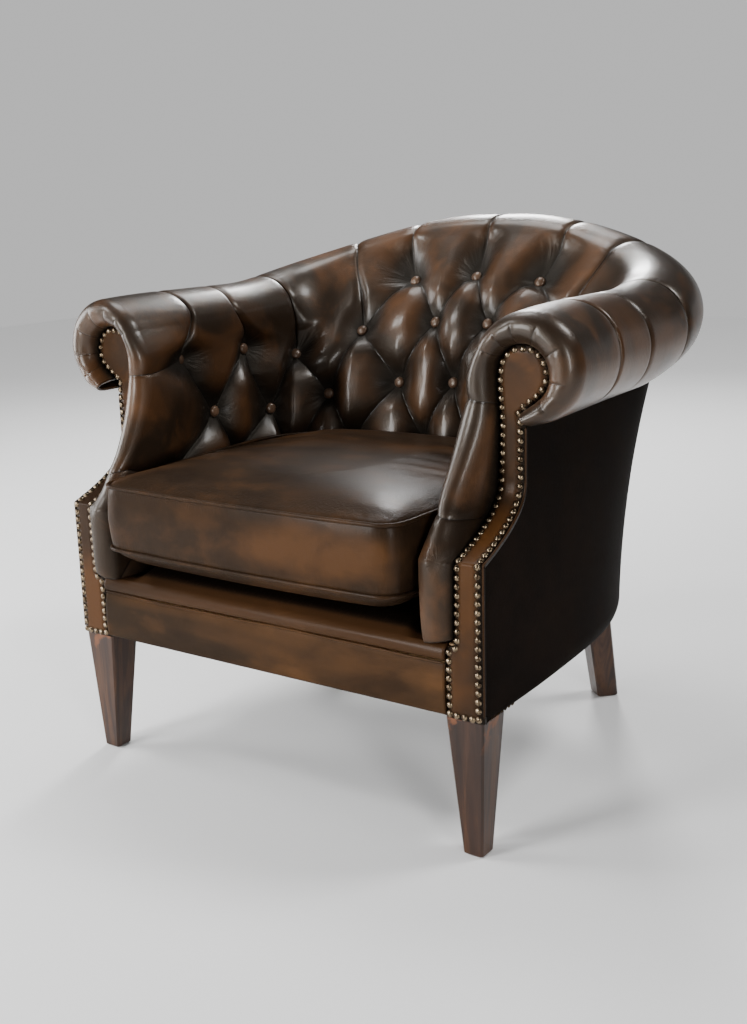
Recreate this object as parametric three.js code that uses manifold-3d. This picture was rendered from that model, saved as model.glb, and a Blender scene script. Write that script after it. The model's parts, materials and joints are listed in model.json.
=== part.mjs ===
// A deep buttoned tub armchair with scroll arms, in millimetres, +Z up.
// x runs across the chair, and y runs back from the front face of the arm facings.
// The finished group is moved so that its origin is the middle of its footprint on the floor.
import * as THREE from "three";
import { mergeVertices } from "three/addons/utils/BufferGeometryUtils.js";
import Module from "manifold-3d";

const wasm = await Module();
wasm.setup();

// Clearances
const SEAT_GAP = 0.3; // between two pieces that touch
const FRAME_GAP = 1.2; // between the timber frame and the leather stretched over it

// Outside of the chair
const HALF_WIDTH = 340; // middle of the chair to the outer face of an arm
const LEG_HEIGHT = 183;
const BASE_DEPTH = 612; // front of the facings to the back of the base
const BASE_SIDE_LENGTH = 190; // the straight part of each side, before it turns
const BASE_POWER = 3; // squareness of that turn, 2 for an ellipse
const COVER_THICKNESS = 5; // leather and its backing board
const COVER_TUCK = 8; // how far the cover's lower edge turns under at the back
const COVER_TUCK_HEIGHT = 26;
const TUCK_START_share = 0.87; // the cover's lower edge turns under behind this place
const TUCK_FADE_share = 0.3;

// Rolled arms and back
const ROLL_SPLAY = 11; // how far out of the base's side the roll's centre stands at the front
const ROLL_OVERHANG = 54; // how far behind the base its centre stands at the back
const ROLL_BACK = BASE_DEPTH + ROLL_OVERHANG;
const ROLL_BEND_DEPTH = 220;
const ROLL_SIDE_LENGTH = ROLL_BACK - ROLL_BEND_DEPTH;
const ROLL_POWER = 2.44;
const ARM_HEIGHT = 417.6; // legs to the centre of the roll at the arms
const ROLL_HEIGHT = LEG_HEIGHT + ARM_HEIGHT;
const ROLL_RISE = 97; // how much higher that centre is at the back
const ROLL_RADIUS = 70;
const BACK_ROLL_RADIUS = 66;
const NECK_INSET = 6; // the neck below the roll, inward of the roll's centre
const NECK_POWER = 3;
const NECK_SPLAY = 7;
const NECK_DROP = 1; // below the roll's underside
const BACK_RISE_START_share = 0.6; // where the roll starts to climb towards the back
const BACK_RISE_LENGTH_share = 0.57;

// Core of the roll, which holds the timber rail and widens behind the facing
const CORE_RADIUS = 28;
const FACING_CORE_RADIUS = 36.5;
const CORE_INSET = 9;
const FACING_CORE_INSET = 10.6;
const TAIL_INSET = 12.6;
const CORE_DROP = 10.6;
const TAIL_share = 0.82; // of the roll's radius, where the leather ends above the neck

// Heights of the frame and the upholstery
const RAIL_STAND = 67; // legs to the top of the seat rails
const RAIL_TOP = LEG_HEIGHT + RAIL_STAND;
const PAD_STAND = 26; // rails to the lower end of the pads
const PAD_BOTTOM = RAIL_TOP + PAD_STAND;

// Swept front of the arms
const SWEEP_DROP = 67.6; // neck of the roll to the top of the sweep
const SWEEP_HIGH = ROLL_HEIGHT - ROLL_RADIUS - NECK_DROP - SWEEP_DROP;
const SWEEP_RISE = 81;
const SWEEP_LOW = SWEEP_HIGH - SWEEP_RISE; // height of the elbow
const SWEEP_BACK = 105;
const SWEEP_POWER = 2.2; // how much of the sweep happens just above the elbow
const SWEEP_REACH = 250; // the sweep fades out this far behind the front
// The padded rim is swept back more slowly than the facing, up to just under the rail.
const RIM_SWEEP_GAP = 2;
const RIM_SWEEP_HIGH = ROLL_HEIGHT - CORE_DROP - CORE_RADIUS - RIM_SWEEP_GAP;
const RIM_SWEEP_RISE = RIM_SWEEP_HIGH - SWEEP_LOW;
const RIM_SWEEP_POWER = 1.4;

// Inside of the chair
const ARM_WIDTH = 74; // outer face of an arm to its inner pad, at the deck
const INSIDE_HALF = HALF_WIDTH - ARM_WIDTH;
const BACK_WIDTH = 187; // back of the base to the back pad, at the deck
const INSIDE_DEPTH = BASE_DEPTH - BACK_WIDTH;
const INSIDE_BEND_DEPTH = 154;
const ARM_PAD = 34; // thickness of the stuffing
const BACK_PAD = 55;
const NOSE = 26; // how far the padded rim stands in front of the facing
const RIM_TURNS = [30, 57, 78]; // degrees at which the rim's rings lie
const RIM_FULLNESS = 15; // how much fuller the front of the arm is stuffed
const RIM_COLUMN = 4.4; // where the fullness begins
const RIM_SPREAD_share = 0.5; // of a column, over which it grows
const RIM_FADE_ROW = 0.4; // the fullness fades out from two rows to this one

// Deep buttoning
const FOLD_DEPTH = 13;
const BUTTON_DEPTH = 25;
const PILLOW_RADIUS = 46; // half width over which the leather falls into a fold
const DIMPLE_RADIUS = 40;
const BUTTON_RADIUS = 10;
const BUTTON_HEIGHT = 7;
const BUTTON_SIDES = 8;
const BUTTON_SKIRT_share = 0.82; // of the button's radius, at its back
const BUTTON_SHOULDER_share = 0.68; // of its radius, below the crown
// heights of the button's rim and shoulder
const BUTTON_LEVEL_shares = [0.34, 0.84];
const MEAN_PITCH = 118; // between neighbouring buttons of a row
const ROW_SPACING = 92;
const CREST_PLEAT_DEPTH = 6;
const PLEAT_SHARPNESS = 2.5; // how much narrower than a fold a pleat is on the roll
const PLEAT_KNOTS = 2.5; // knots of the section over which a pleat grows, and fades
const PLEAT_FADE_KNOT = 6.5; // knots from the last button to where it begins to fade

// Facing, post, rails and other timber
const FACING_THICKNESS = 7;
const FACING_FOOT_WIDTH = 51; // of the facing below the pad
const FACING_FOOT_HALF = HALF_WIDTH - FACING_FOOT_WIDTH;
const FACING_CROWN = 3;
const BORDER_CROWN = 6;
const POST_THICKNESS = 32;
const RAIL_THICKNESS = 34;
const UPRIGHT_WIDTH = 46;
const UPRIGHT_DEPTH = 22;
const CENTRE_UPRIGHT_LEAN = 12; // further in at the neck than the cover
const REAR_UPRIGHT_LEAN = 26;
const BLOCK_LENGTH = 52;
const BLOCK_THICKNESS = 30;
const BLOCK_DROP = 6; // below the rails' top
const BLOCK_TOP = RAIL_TOP - BLOCK_DROP;
const DUST_COVER_THICKNESS = 1.5;
const RAIL_BOTTOM = LEG_HEIGHT + DUST_COVER_THICKNESS + SEAT_GAP * 2;

// Legs
const FRONT_LEG_TOP = 53;
const FRONT_LEG_FOOT = 28;
const FRONT_LEG_TOP_INSET = 1;
const FRONT_FOOT_INSET = 10;
const REAR_LEG_TOP = 40;
const REAR_LEG_FOOT = 34;
const REAR_LEG_TOP_INSET = 27; // the rear leg's centre, inside the cover
const REAR_FOOT_SIDE_INSET = 110; // the rear foot's centre, inside the base
const REAR_FOOT_BACK_INSET = 32;
const REAR_FOOT_X = HALF_WIDTH - REAR_FOOT_SIDE_INSET;
const REAR_FOOT_Y = BASE_DEPTH - REAR_FOOT_BACK_INSET;
const LEG_EDGE = 2.5; // bevel along the leg's corners and round its foot
const SPIGOT_RADIUS = 5;
const SPIGOT_LENGTH = 36;

// Seat
const WEB_THICKNESS = 1.6;
const WEB_WIDTH = 52;
const WEB_EASE = 8; // on each side of a crossing before a web turns up or down
const LONG_WEB_SPACING = 130;
const CROSS_WEB_FIRST = 115;
const CROSS_WEB_SPACING = 130;
const DECK_EDGE = PAD_BOTTOM - SEAT_GAP; // top of the deck's margin, under the pads
const DECK_CROWN = 24;
const DECK_TOP = PAD_BOTTOM + DECK_CROWN;
const DECK_BACK_INSET = 50; // inside the back of the base
const DECK_BACK = BASE_DEPTH - DECK_BACK_INSET;
const DECK_BEND_share = 0.8; // of the base's bend
const DECK_BOW = 2;
const DECK_CORNER = 2;
const DECK_CROWN_CORNER = 14;
// rows of the deck's crown: height, then how far its front and its edge are drawn in
const DECK_CROWN_DRAW = 44;
const DECK_CROWN_shares = [
  [0, 0.045, 0],
  [0.45, 0.14, 0.11],
  [0.82, 0.45, 0.36],
  [1, 1, 1],
];
const BORDER_OVERLAP = 2.5; // above the rails' top
const BORDER_TOP = RAIL_TOP + BORDER_OVERLAP;
const BORDER_STEPS = 6;

// Loose cushion
const CUSHION_FRONT = 40; // in front of the facings
const CUSHION_SIDE_GAP = 4; // between the cushion and an arm pad
const CUSHION_HALF = INSIDE_HALF - CUSHION_SIDE_GAP;
const CUSHION_FRONT_INSET = 22; // its front corners stand in from the arm pads
const CUSHION_FRONT_HALF = INSIDE_HALF - CUSHION_FRONT_INSET;
const CUSHION_UNDER = 35; // deck to the lower seam
const CUSHION_BOXING = 89; // between the seams
const CUSHION_SEAM_LOW = DECK_TOP + CUSHION_UNDER;
const CUSHION_SEAM_HIGH = CUSHION_SEAM_LOW + CUSHION_BOXING;
const CUSHION_CROWN = 21;
const CUSHION_SETTLE = 8; // how much lower its top lies at the back
const CUSHION_BULGE = 4;
const CUSHION_CORNER = 30;
const CUSHION_BOW = 6;
const CUSHION_BACK_GAP = 6;
const CUSHION_DRAW = 170; // how far the crown's highest row is drawn in
// rows of the cushion: height share, then how far drawn in as a share
const CUSHION_UNDER_shares = [
  [1, 0.494],
  [0.9, 0.306],
  [0.6, 0.13],
  [0.25, 0.03],
];
const CUSHION_BOXING_shares = [
  [0, 0],
  [0.12, 0.4],
  [0.5, 1],
  [0.88, 0.4],
  [1, 0],
];
const CUSHION_CROWN_shares = [
  [0.28, 0.047],
  [0.6, 0.176],
  [0.85, 0.41],
  [0.97, 0.7],
  [1, 1],
];

// How finely the curved pieces are divided
const FRONT_COLUMN = 5; // button pitches from the middle of the back to the front of an arm
const DECK_ROW = 5; // the row at the deck, below the four rows of folds
const PITCH_STEPS = 6; // columns between two buttons of a row
const COVER_STEPS = 22; // columns from the middle of the back to the front
const OUTLINE_STEPS = 15; // points along each side of the seat
const CORNER_TURNS = [0, 30, 60, 90]; // degrees round a front corner of the seat
const BOW_share = 0.75; // of the front's bow, halfway to a corner

// Heights of the buttoned rows as shares of the way from the deck to the roll's centre
const BACK_ROW_shares = { 5: 0, 4: 0.337, 3: 0.558, 2: 0.79, 1: 0.985 };
const ARM_ROW_shares = { 5: 0, 4: 0.37, 3: 0.622, 2: 0.905, 1: 1.12 };
const CORNER_DIP_share = 0.05; // the rows dip where the arms turn into the back
const CORNER_COLUMN = 2.7;
const CORNER_SPREAD_share = 0.9; // of a column
const FIRST_ROLL_KNOT_share = 1.19; // height share of the roll's first knot
// The wall inside the chair: height share, how far an arm leans out in roll radii,
// and how far the back leans back as a share of the way to the roll.
const WALL_shares = [
  [0, 0, 0],
  [0.337, 0.03, 0.205],
  [0.556, 0.06, 0.326],
  [0.772, 0.09, 0.474],
  [0.931, 0.15, 0.737],
];
// Where each half step of the buttoning falls, as a share of the way from the middle
// of the back to the front: along the inside wall, then along the roll.
const WALL_STATION_shares = [0, 0.068, 0.144, 0.257, 0.315, 0.397, 0.438, 0.541, 0.618, 0.793, 1];
const ROLL_STATION_shares = [0, 0.08, 0.165, 0.29, 0.4, 0.5, 0.575, 0.65, 0.715, 0.785, 1];
// Angles round the roll, in degrees up and over from its inner side
const ROLL_ANGLES = [30, 60, 90, 120, 150, 180, 210, 240, 264];
const CORE_ANGLES = [20, 60, 100, 140, 180, 214];

const LEATHER = { color: 0x3a2317, roughness: 0.32, metalness: 0 };
const WORN_LEATHER = { color: 0x5a3319, roughness: 0.34, metalness: 0 };
const WALNUT = { color: 0x3b2114, roughness: 0.4, metalness: 0 };
const BEECH = { color: 0xb98f5f, roughness: 0.7, metalness: 0 };
const CANVAS = { color: 0x1d1a18, roughness: 0.95, metalness: 0 };
const JUTE = { color: 0x9a7b4f, roughness: 0.95, metalness: 0 };

const chair = new THREE.Group();

function add(name, geometry, finish) {
  const mesh = new THREE.Mesh(geometry, new THREE.MeshStandardMaterial(finish));
  mesh.name = name;
  chair.add(mesh);
  return mesh;
}

function smooth(t) {
  const u = THREE.MathUtils.clamp(t, 0, 1);
  return u * u * (3 - 2 * u);
}

function mix(a, b, t) {
  return a + (b - a) * t;
}

// Reads a list of evenly spaced values at a place between them.
function readTable(table, place) {
  const low = Math.min(Math.floor(place), table.length - 2);
  return mix(table[low], table[low + 1], place - low);
}

// Half of a tub's plan, by its own length, from the middle of the back to the front.
class TubPlan extends THREE.Curve {
  constructor(half, bendStart, bendDepth, power, splay = 0) {
    super();
    Object.assign(this, { half, bendStart, bendDepth, power, splay });
    this.arcLengthDivisions = 240;
  }
  getPoint(t, target = new THREE.Vector3()) {
    const bendShare = 0.6;
    if (t < bendShare) {
      const angle = ((1 - t / bendShare) * Math.PI) / 2;
      const x = this.half * Math.max(Math.cos(angle), 0) ** (2 / this.power);
      const y = this.bendStart + this.bendDepth * Math.sin(angle) ** (2 / this.power);
      return target.set(x, y, 0);
    }
    const forward = (t - bendShare) / (1 - bendShare);
    return target.set(this.half + this.splay * forward, this.bendStart * (1 - forward), 0);
  }
  // The point at a share of the length, with the outward direction there.
  station(share) {
    const at = THREE.MathUtils.clamp(share, 0, 1);
    const point = this.getPointAt(at);
    const step = 0.002;
    const ahead = this.getPointAt(Math.min(at + step, 1));
    const behind = this.getPointAt(Math.max(at - step, 0));
    const along = ahead.sub(behind).normalize();
    if (at < step) along.set(1, 0, 0);
    return { point, outward: new THREE.Vector3(-along.y, along.x, 0) };
  }
}

const BASE_BEND_DEPTH = BASE_DEPTH - BASE_SIDE_LENGTH;
const basePlan = new TubPlan(HALF_WIDTH, BASE_SIDE_LENGTH, BASE_BEND_DEPTH, BASE_POWER);
const rollPlan = new TubPlan(HALF_WIDTH, ROLL_SIDE_LENGTH, ROLL_BEND_DEPTH, ROLL_POWER, ROLL_SPLAY);
const neckHalf = HALF_WIDTH - NECK_INSET;
const neckPlan = new TubPlan(neckHalf, ROLL_SIDE_LENGTH, ROLL_BEND_DEPTH, NECK_POWER, NECK_SPLAY);

// The back is higher than the arms: 0 along the arms, 1 at the middle of the back.
function backness(share) {
  return smooth((BACK_RISE_START_share - share) / BACK_RISE_LENGTH_share);
}

function rollHeight(share) {
  return ROLL_HEIGHT + ROLL_RISE * backness(share);
}

function rollRadius(share) {
  return mix(BACK_ROLL_RADIUS, ROLL_RADIUS, share);
}

// The front of each arm is swept back above the elbow, in a hollow curve.
function sweptBack(z, rise = SWEEP_RISE, power = SWEEP_POWER) {
  const climb = THREE.MathUtils.clamp((z - SWEEP_LOW) / rise, 0, 1);
  return SWEEP_BACK * (1 - (1 - climb) ** power);
}

function sweep(point, rise = SWEEP_RISE, power = SWEEP_POWER) {
  const fade = THREE.MathUtils.clamp(1 - point.y / SWEEP_REACH, 0, 1);
  point.y += sweptBack(point.z, rise, power) * fade;
  return point;
}

function sweepPad(point) {
  return sweep(point, RIM_SWEEP_RISE, RIM_SWEEP_POWER);
}

const SWEEP_LEVELS = [0, 0.12, 0.28, 0.5, 0.72, 1].map((t) => mix(SWEEP_LOW, SWEEP_HIGH, t));

// Solids
function newellNormal(ring) {
  const normal = new THREE.Vector3();
  ring.forEach((a, k) => {
    const b = ring[(k + 1) % ring.length];
    normal.x += (a.y - b.y) * (a.z + b.z);
    normal.y += (a.z - b.z) * (a.x + b.x);
    normal.z += (a.x - b.x) * (a.y + b.y);
  });
  return normal.normalize();
}

// Triangles that close a ring, in the ring's own order. Where the ring goes up one side
// of a section and comes back down the other, near is the count of points on the first.
function capTriangles(ring, near) {
  if (near) return zipTriangles(near, ring.length);
  const normal = newellNormal(ring);
  const across = new THREE.Vector3(normal.y, normal.z, normal.x).cross(normal).normalize();
  const up = normal.clone().cross(across);
  const flat = ring.map((p) => new THREE.Vector2(p.dot(across), p.dot(up)));
  return THREE.ShapeUtils.triangulateShape(flat, []);
}

function zipTriangles(near, count) {
  const far = count - near;
  const faces = [];
  let [up, down] = [0, 0];
  while (up < near - 1 || down < far - 1) {
    const [a, b] = [up, count - 1 - down];
    if (down === far - 1 || (up < near - 1 && (up + 1) / (near - 1) <= (down + 1) / (far - 1))) {
      faces.push([a, a + 1, b]);
      up += 1;
    } else {
      faces.push([a, b - 1, b]);
      down += 1;
    }
  }
  return faces;
}

// A closed solid skinned over rings of points. Each ring has as many points as the next.
// Each face between two rings is split along its deeper diagonal, or else its shorter one.
function skin(rings, { near = 0, depthAt = () => 0 } = {}) {
  const count = rings[0].length;
  const positions = rings.flatMap((ring) => ring.flatMap((p) => [p.x, p.y, p.z]));
  const index = [];
  for (let r = 0; r + 1 < rings.length; r++) {
    for (let k = 0; k < count; k++) {
      const next = (k + 1) % count;
      const a = r * count + k;
      const b = r * count + next;
      const deeper = depthAt(r, k) + depthAt(r + 1, next) - depthAt(r, next) - depthAt(r + 1, k);
      const rising = rings[r][k].distanceTo(rings[r + 1][next]);
      const falling = rings[r][next].distanceTo(rings[r + 1][k]);
      const split = Math.abs(deeper) > 1 ? deeper > 0 : rising <= falling;
      if (split) index.push(a, b, b + count, a, b + count, a + count);
      else index.push(a, b, a + count, b, b + count, a + count);
    }
  }
  const last = (rings.length - 1) * count;
  capTriangles(rings[0], near).forEach(([a, b, c]) => index.push(a, c, b));
  capTriangles(rings.at(-1), near).forEach(([a, b, c]) => index.push(last + a, last + b, last + c));
  const geometry = new THREE.BufferGeometry();
  geometry.setAttribute("position", new THREE.Float32BufferAttribute(positions, 3));
  geometry.setIndex(index);
  return outward(geometry);
}

// Turns a closed surface so that its faces point out.
function outward(geometry) {
  const p = geometry.getAttribute("position");
  const faces = geometry.index.array;
  const corner = (n) => new THREE.Vector3().fromBufferAttribute(p, faces[n]);
  let volume = 0;
  for (let n = 0; n < faces.length; n += 3) {
    volume += corner(n).dot(corner(n + 1).cross(corner(n + 2)));
  }
  if (volume < 0) {
    for (let n = 0; n < faces.length; n += 3) {
      [faces[n + 1], faces[n + 2]] = [faces[n + 2], faces[n + 1]];
    }
  }
  return geometry;
}

function toManifold(geometry) {
  const bare = geometry.clone();
  bare.deleteAttribute("normal");
  bare.deleteAttribute("uv");
  const merged = mergeVertices(bare, 1e-4);
  return new wasm.Manifold(
    new wasm.Mesh({
      numProp: 3,
      vertProperties: new Float32Array(merged.getAttribute("position").array),
      triVerts: new Uint32Array(merged.index.array),
    }),
  );
}

function fromManifold(solid) {
  const mesh = solid.getMesh();
  const geometry = new THREE.BufferGeometry();
  geometry.setAttribute("position", new THREE.Float32BufferAttribute(mesh.vertProperties, 3));
  geometry.setIndex(Array.from(mesh.triVerts));
  return geometry;
}

function cut(geometry, tools) {
  const solid = tools.reduce((body, tool) => body.subtract(toManifold(tool)), toManifold(geometry));
  return fromManifold(solid);
}

function join(geometries) {
  const [first, ...rest] = geometries.map(toManifold);
  return fromManifold(rest.reduce((body, more) => body.add(more), first));
}

function mirrored(geometry) {
  const copy = geometry.clone();
  copy.scale(-1, 1, 1);
  return outward(copy);
}

function addPair(name, geometry, finish) {
  add("right_" + name, geometry, finish);
  add("left_" + name, mirrored(geometry), finish);
}

// The outside of the chair: from the base plan it stays upright, then flares to the neck.
function neckHeight(share) {
  return rollHeight(share) - rollRadius(share) - NECK_DROP;
}

function climbShare(share, height) {
  return Math.max((height - LEG_HEIGHT) / (neckHeight(share) - LEG_HEIGHT), 0);
}

function coverPoint(share, height, depth) {
  const flare = climbShare(share, height) ** 2;
  const low = basePlan.station(share);
  const high = neckPlan.station(share);
  const point = low.point.clone().lerp(high.point, flare);
  const outwardThere = low.outward.clone().lerp(high.outward, flare).normalize();
  const under = THREE.MathUtils.clamp(1 - (height - LEG_HEIGHT) / COVER_TUCK_HEIGHT, 0, 1);
  const tuck = COVER_TUCK * under ** 2 * smooth((TUCK_START_share - share) / TUCK_FADE_share);
  point.addScaledVector(outwardThere, -depth - tuck);
  point.z = height;
  return sweep(point);
}

// Heights at which the cover, and what lies behind it, has its corners.
function coverLevels(share) {
  const neck = neckHeight(share);
  const tuckTop = LEG_HEIGHT + COVER_TUCK_HEIGHT;
  const between = (low, high, shares) => shares.map((share) => mix(low, high, share));
  return [
    LEG_HEIGHT + SEAT_GAP,
    RAIL_BOTTOM,
    ...between(RAIL_BOTTOM, tuckTop, [0.3, 0.65, 1]),
    ...between(RAIL_TOP, SWEEP_LOW, [0, 0.35, 0.7]),
    ...SWEEP_LEVELS,
    ...between(SWEEP_HIGH, neck, [0.35, 0.7, 1]),
  ];
}

const HAIR_share = 1e-6; // keeps a column that is already there from being made twice

// A block that follows the outside of the chair, between two shares of the way round,
// two heights and two depths under the surface, leaning in further by lean at the neck.
// Its columns and levels are the cover's.
function followBlock({ from, to, low, high, outer, inner, first = null, lean = 0 }) {
  const shares = [from];
  const start = Math.ceil(from * COVER_STEPS + HAIR_share);
  for (let k = start; k / COVER_STEPS < to - HAIR_share; k++) shares.push(k / COVER_STEPS);
  shares.push(to);
  const levelCount = coverLevels(0).filter((z) => z > low && z < high(0)).length;
  const rings = shares.map((signed) => {
    const share = Math.abs(signed);
    const at = (height, depth) => {
      const p = coverPoint(share, height, depth + lean * climbShare(share, height) ** 2);
      p.x *= Math.sign(signed) || 1;
      if (first !== null) holdBehind(p, first);
      return p;
    };
    const between = coverLevels(share).filter((z) => z > low && z < high(share));
    const heights = [low, ...between.slice(0, levelCount), high(share)];
    const outside = heights.map((z) => at(z, outer));
    const inside = heights.map((z) => at(z, inner));
    return [...outside, ...inside.reverse()];
  });
  return skin(rings, { near: rings[0].length / 2 });
}

// Keeps a point of a piece behind the back face of what stands in front of it.
function holdBehind(point, front) {
  point.y = Math.max(point.y, front + sweptBack(point.z));
}

// The inside: for each half step of buttoning, the section from the deck up the wall,
// over the roll and under to the neck.
const wallPlans = WALL_shares.map(([, lean, rake]) => {
  const back = mix(INSIDE_DEPTH, ROLL_BACK - BACK_ROLL_RADIUS, rake);
  const half = INSIDE_HALF + lean * ROLL_RADIUS;
  return new TubPlan(half, back - INSIDE_BEND_DEPTH, INSIDE_BEND_DEPTH, ROLL_POWER);
});

const corePlans = WALL_shares.map(([, lean, rake]) => {
  const back = mix(INSIDE_DEPTH, ROLL_BACK - BACK_ROLL_RADIUS, rake) + BACK_PAD;
  const half = INSIDE_HALF + lean * ROLL_RADIUS + ARM_PAD;
  const bend = INSIDE_BEND_DEPTH + (BACK_PAD - ARM_PAD) / 2;
  return new TubPlan(half, back - bend, bend, ROLL_POWER);
});

function wallStation(column) {
  return readTable(WALL_STATION_shares, column * 2);
}

function rollStation(column) {
  return readTable(ROLL_STATION_shares, column * 2);
}

// A point on a circle round the roll's line, at an angle up and over from its inner side.
function roundRoll(column, degrees, radius, inset = 0, drop = 0) {
  const share = rollStation(column);
  const { point, outward: out } = rollPlan.station(share);
  const angle = THREE.MathUtils.degToRad(degrees);
  point.addScaledVector(out, -inset - radius * Math.cos(angle));
  point.z = rollHeight(share) - drop + radius * Math.sin(angle);
  return point;
}

function wallPoint(plans, column, row) {
  const { point } = plans[row].station(wallStation(column));
  const top = rollHeight(rollStation(column));
  point.z = mix(PAD_BOTTOM, top, WALL_shares[row][0]);
  return point;
}

// The outer section as a smooth curve, one unit of its parameter for each of its knots.
const sections = new Map();

function outerSection(column) {
  if (!sections.has(column)) {
    const wall = WALL_shares.map((_, row) => wallPoint(wallPlans, column, row));
    const radius = rollRadius(rollStation(column));
    const roll = ROLL_ANGLES.map((degrees) => roundRoll(column, degrees, radius));
    const knots = [...wall, ...roll];
    sections.set(column, new THREE.CatmullRomCurve3(knots, false, "centripetal"));
  }
  return sections.get(column);
}

const SECTION_SPANS = WALL_shares.length + ROLL_ANGLES.length - 1;

function sectionPoint(column, along) {
  return outerSection(column).getPoint(Math.min(along / SECTION_SPANS, 1));
}

// Along the section, where a row of buttons lies. Row 1 is the highest, and 5 is the deck.
function rowPlace(row, column) {
  const armness = 1 - backness(rollStation(column));
  const low = Math.min(Math.floor(row), DECK_ROW - 1);
  const share = (n) => mix(BACK_ROW_shares[n], ARM_ROW_shares[n], armness);
  const nearCorner = smooth(1 - Math.abs(column - CORNER_COLUMN) / CORNER_SPREAD_share);
  const dip = row < DECK_ROW ? CORNER_DIP_share * nearCorner : 0;
  const height = mix(share(low), share(low + 1), row - low) - dip;
  const knots = WALL_shares.map(([h]) => h);
  if (height >= knots.at(-1)) {
    return knots.length - 1 + (height - knots.at(-1)) / (FIRST_ROLL_KNOT_share - knots.at(-1));
  }
  const span = Math.max(knots.findIndex((h) => h > height) - 1, 0);
  return span + (height - knots[span]) / (knots[span + 1] - knots[span]);
}

// Folds of the buttoning, each from one place to another. A place is a column, counted
// in button pitches from the middle of the back, and a row.
const TOP_PLEATS = [0, 1, 1.5, 2.5, 3.5, 4.5];
const FRONT_FOLD_ROW = 2.1; // where the upper fold of an arm meets its front
const ARM_PLEAT_COLUMN = 1.25; // from here on the pleats rise from row 2
const BUTTON_ROWS = {
  1: [0, 1],
  2: [0.5, 1.5, 2.5, 3.5, 4.5],
  3: [0, 1, 2, 3, 4],
  4: [0.5, 1.5, 2.5, 3.5, 4.5],
};

function foldLines() {
  const lines = [];
  const mirroredRow = (row) => [...new Set(BUTTON_ROWS[row].flatMap((c) => [c, -c]))];
  for (const row of [1, 2, 3]) {
    for (const upper of mirroredRow(row)) {
      for (const lower of mirroredRow(row + 1)) {
        if (Math.abs(upper - lower) === 0.5) lines.push([upper, row, lower, row + 1]);
      }
    }
  }
  for (const column of mirroredRow(4)) {
    lines.push([column, 4, column - 0.5, DECK_ROW], [column, 4, column + 0.5, DECK_ROW]);
  }
  for (const side of [1, -1]) {
    lines.push([side * 4.5, 2, side * FRONT_COLUMN, FRONT_FOLD_ROW]);
    lines.push([side * 4.5, 4, side * FRONT_COLUMN, 4]);
  }
  return lines;
}

const FOLDS = foldLines();
const BUTTONS = [];
for (const row of [1, 2, 3]) {
  for (const column of BUTTON_ROWS[row]) {
    if (column) BUTTONS.push([-column, row]);
    BUTTONS.push([column, row]);
  }
}

function distanceToLine(x, y, [x0, y0, x1, y1]) {
  const dx = (x1 - x0) * MEAN_PITCH;
  const dy = (y1 - y0) * ROW_SPACING;
  const px = (x - x0) * MEAN_PITCH;
  const py = (y - y0) * ROW_SPACING;
  const t = THREE.MathUtils.clamp((px * dx + py * dy) / (dx * dx + dy * dy), 0, 1);
  return Math.hypot(px - t * dx, py - t * dy);
}

// How deep the leather is drawn in at a column and row. Rows below 1 lie on the roll.
function tuftDepth(column, row, over) {
  const groove = (distance) => Math.max(1 - distance / PILLOW_RADIUS, 0) ** 2;
  let depth = 0;
  for (const line of FOLDS) {
    depth = Math.max(depth, FOLD_DEPTH * groove(distanceToLine(column, row, line)));
  }
  for (const pleat of TOP_PLEATS) {
    const top = pleat > 1 ? 2 : 1;
    const offset = Math.hypot(
      (Math.abs(column) - pleat) * MEAN_PITCH,
      Math.max(row - top, 0) * ROW_SPACING,
    );
    const rise = smooth(over / PLEAT_KNOTS);
    const fade = 1 - smooth((over - PLEAT_FADE_KNOT) / PLEAT_KNOTS);
    const strength = mix(FOLD_DEPTH, CREST_PLEAT_DEPTH, rise) * fade;
    depth = Math.max(depth, strength * groove(offset * mix(1, PLEAT_SHARPNESS, rise)));
  }
  for (const [c, r] of BUTTONS) {
    const away = Math.hypot((column - c) * MEAN_PITCH, (row - r) * ROW_SPACING);
    const dimple = Math.max(1 - (away / DIMPLE_RADIUS) ** 2, 0) ** 2;
    depth = Math.max(depth, mix(depth, BUTTON_DEPTH, dimple));
  }
  return depth;
}

// Rows of the pad: three steps between buttons, then even steps over the roll.
const ROW_STEPS = 3;
const PAD_ROWS = [DECK_ROW, DECK_ROW - 0.5];
for (let k = 4 * ROW_STEPS; k >= ROW_STEPS; k--) PAD_ROWS.push(k / ROW_STEPS);
const OVER_STEPS = 9;
// rows that one knot of the roll's section is worth
const knotRows = (ROLL_RADIUS * Math.PI) / 6 / ROW_SPACING;

function padPlace(column, index) {
  if (index < PAD_ROWS.length) {
    return { along: rowPlace(PAD_ROWS[index], column), row: PAD_ROWS[index], over: 0 };
  }
  const start = rowPlace(1, column);
  const step = (index - PAD_ROWS.length + 1) / OVER_STEPS;
  const along = mix(start, SECTION_SPANS, step);
  const over = Math.max(along - start, 0);
  return { along, row: 1 - over * knotRows, over };
}

const PAD_POINTS = PAD_ROWS.length + OVER_STEPS;

function padDepth(column, index) {
  const c = Math.abs(column);
  const { row, over } = padPlace(c, index);
  const overArm = c > ARM_PLEAT_COLUMN ? THREE.MathUtils.clamp(2 - row, 0, 1) : 0;
  return tuftDepth(c, row, over + overArm);
}

// The front of the arm is stuffed fuller, up to where it turns over the roll.
function rimFullness(column, row) {
  const forward = smooth((column - RIM_COLUMN) / RIM_SPREAD_share);
  return RIM_FULLNESS * forward * smooth((row - RIM_FADE_ROW) / (2 - RIM_FADE_ROW));
}

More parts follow.
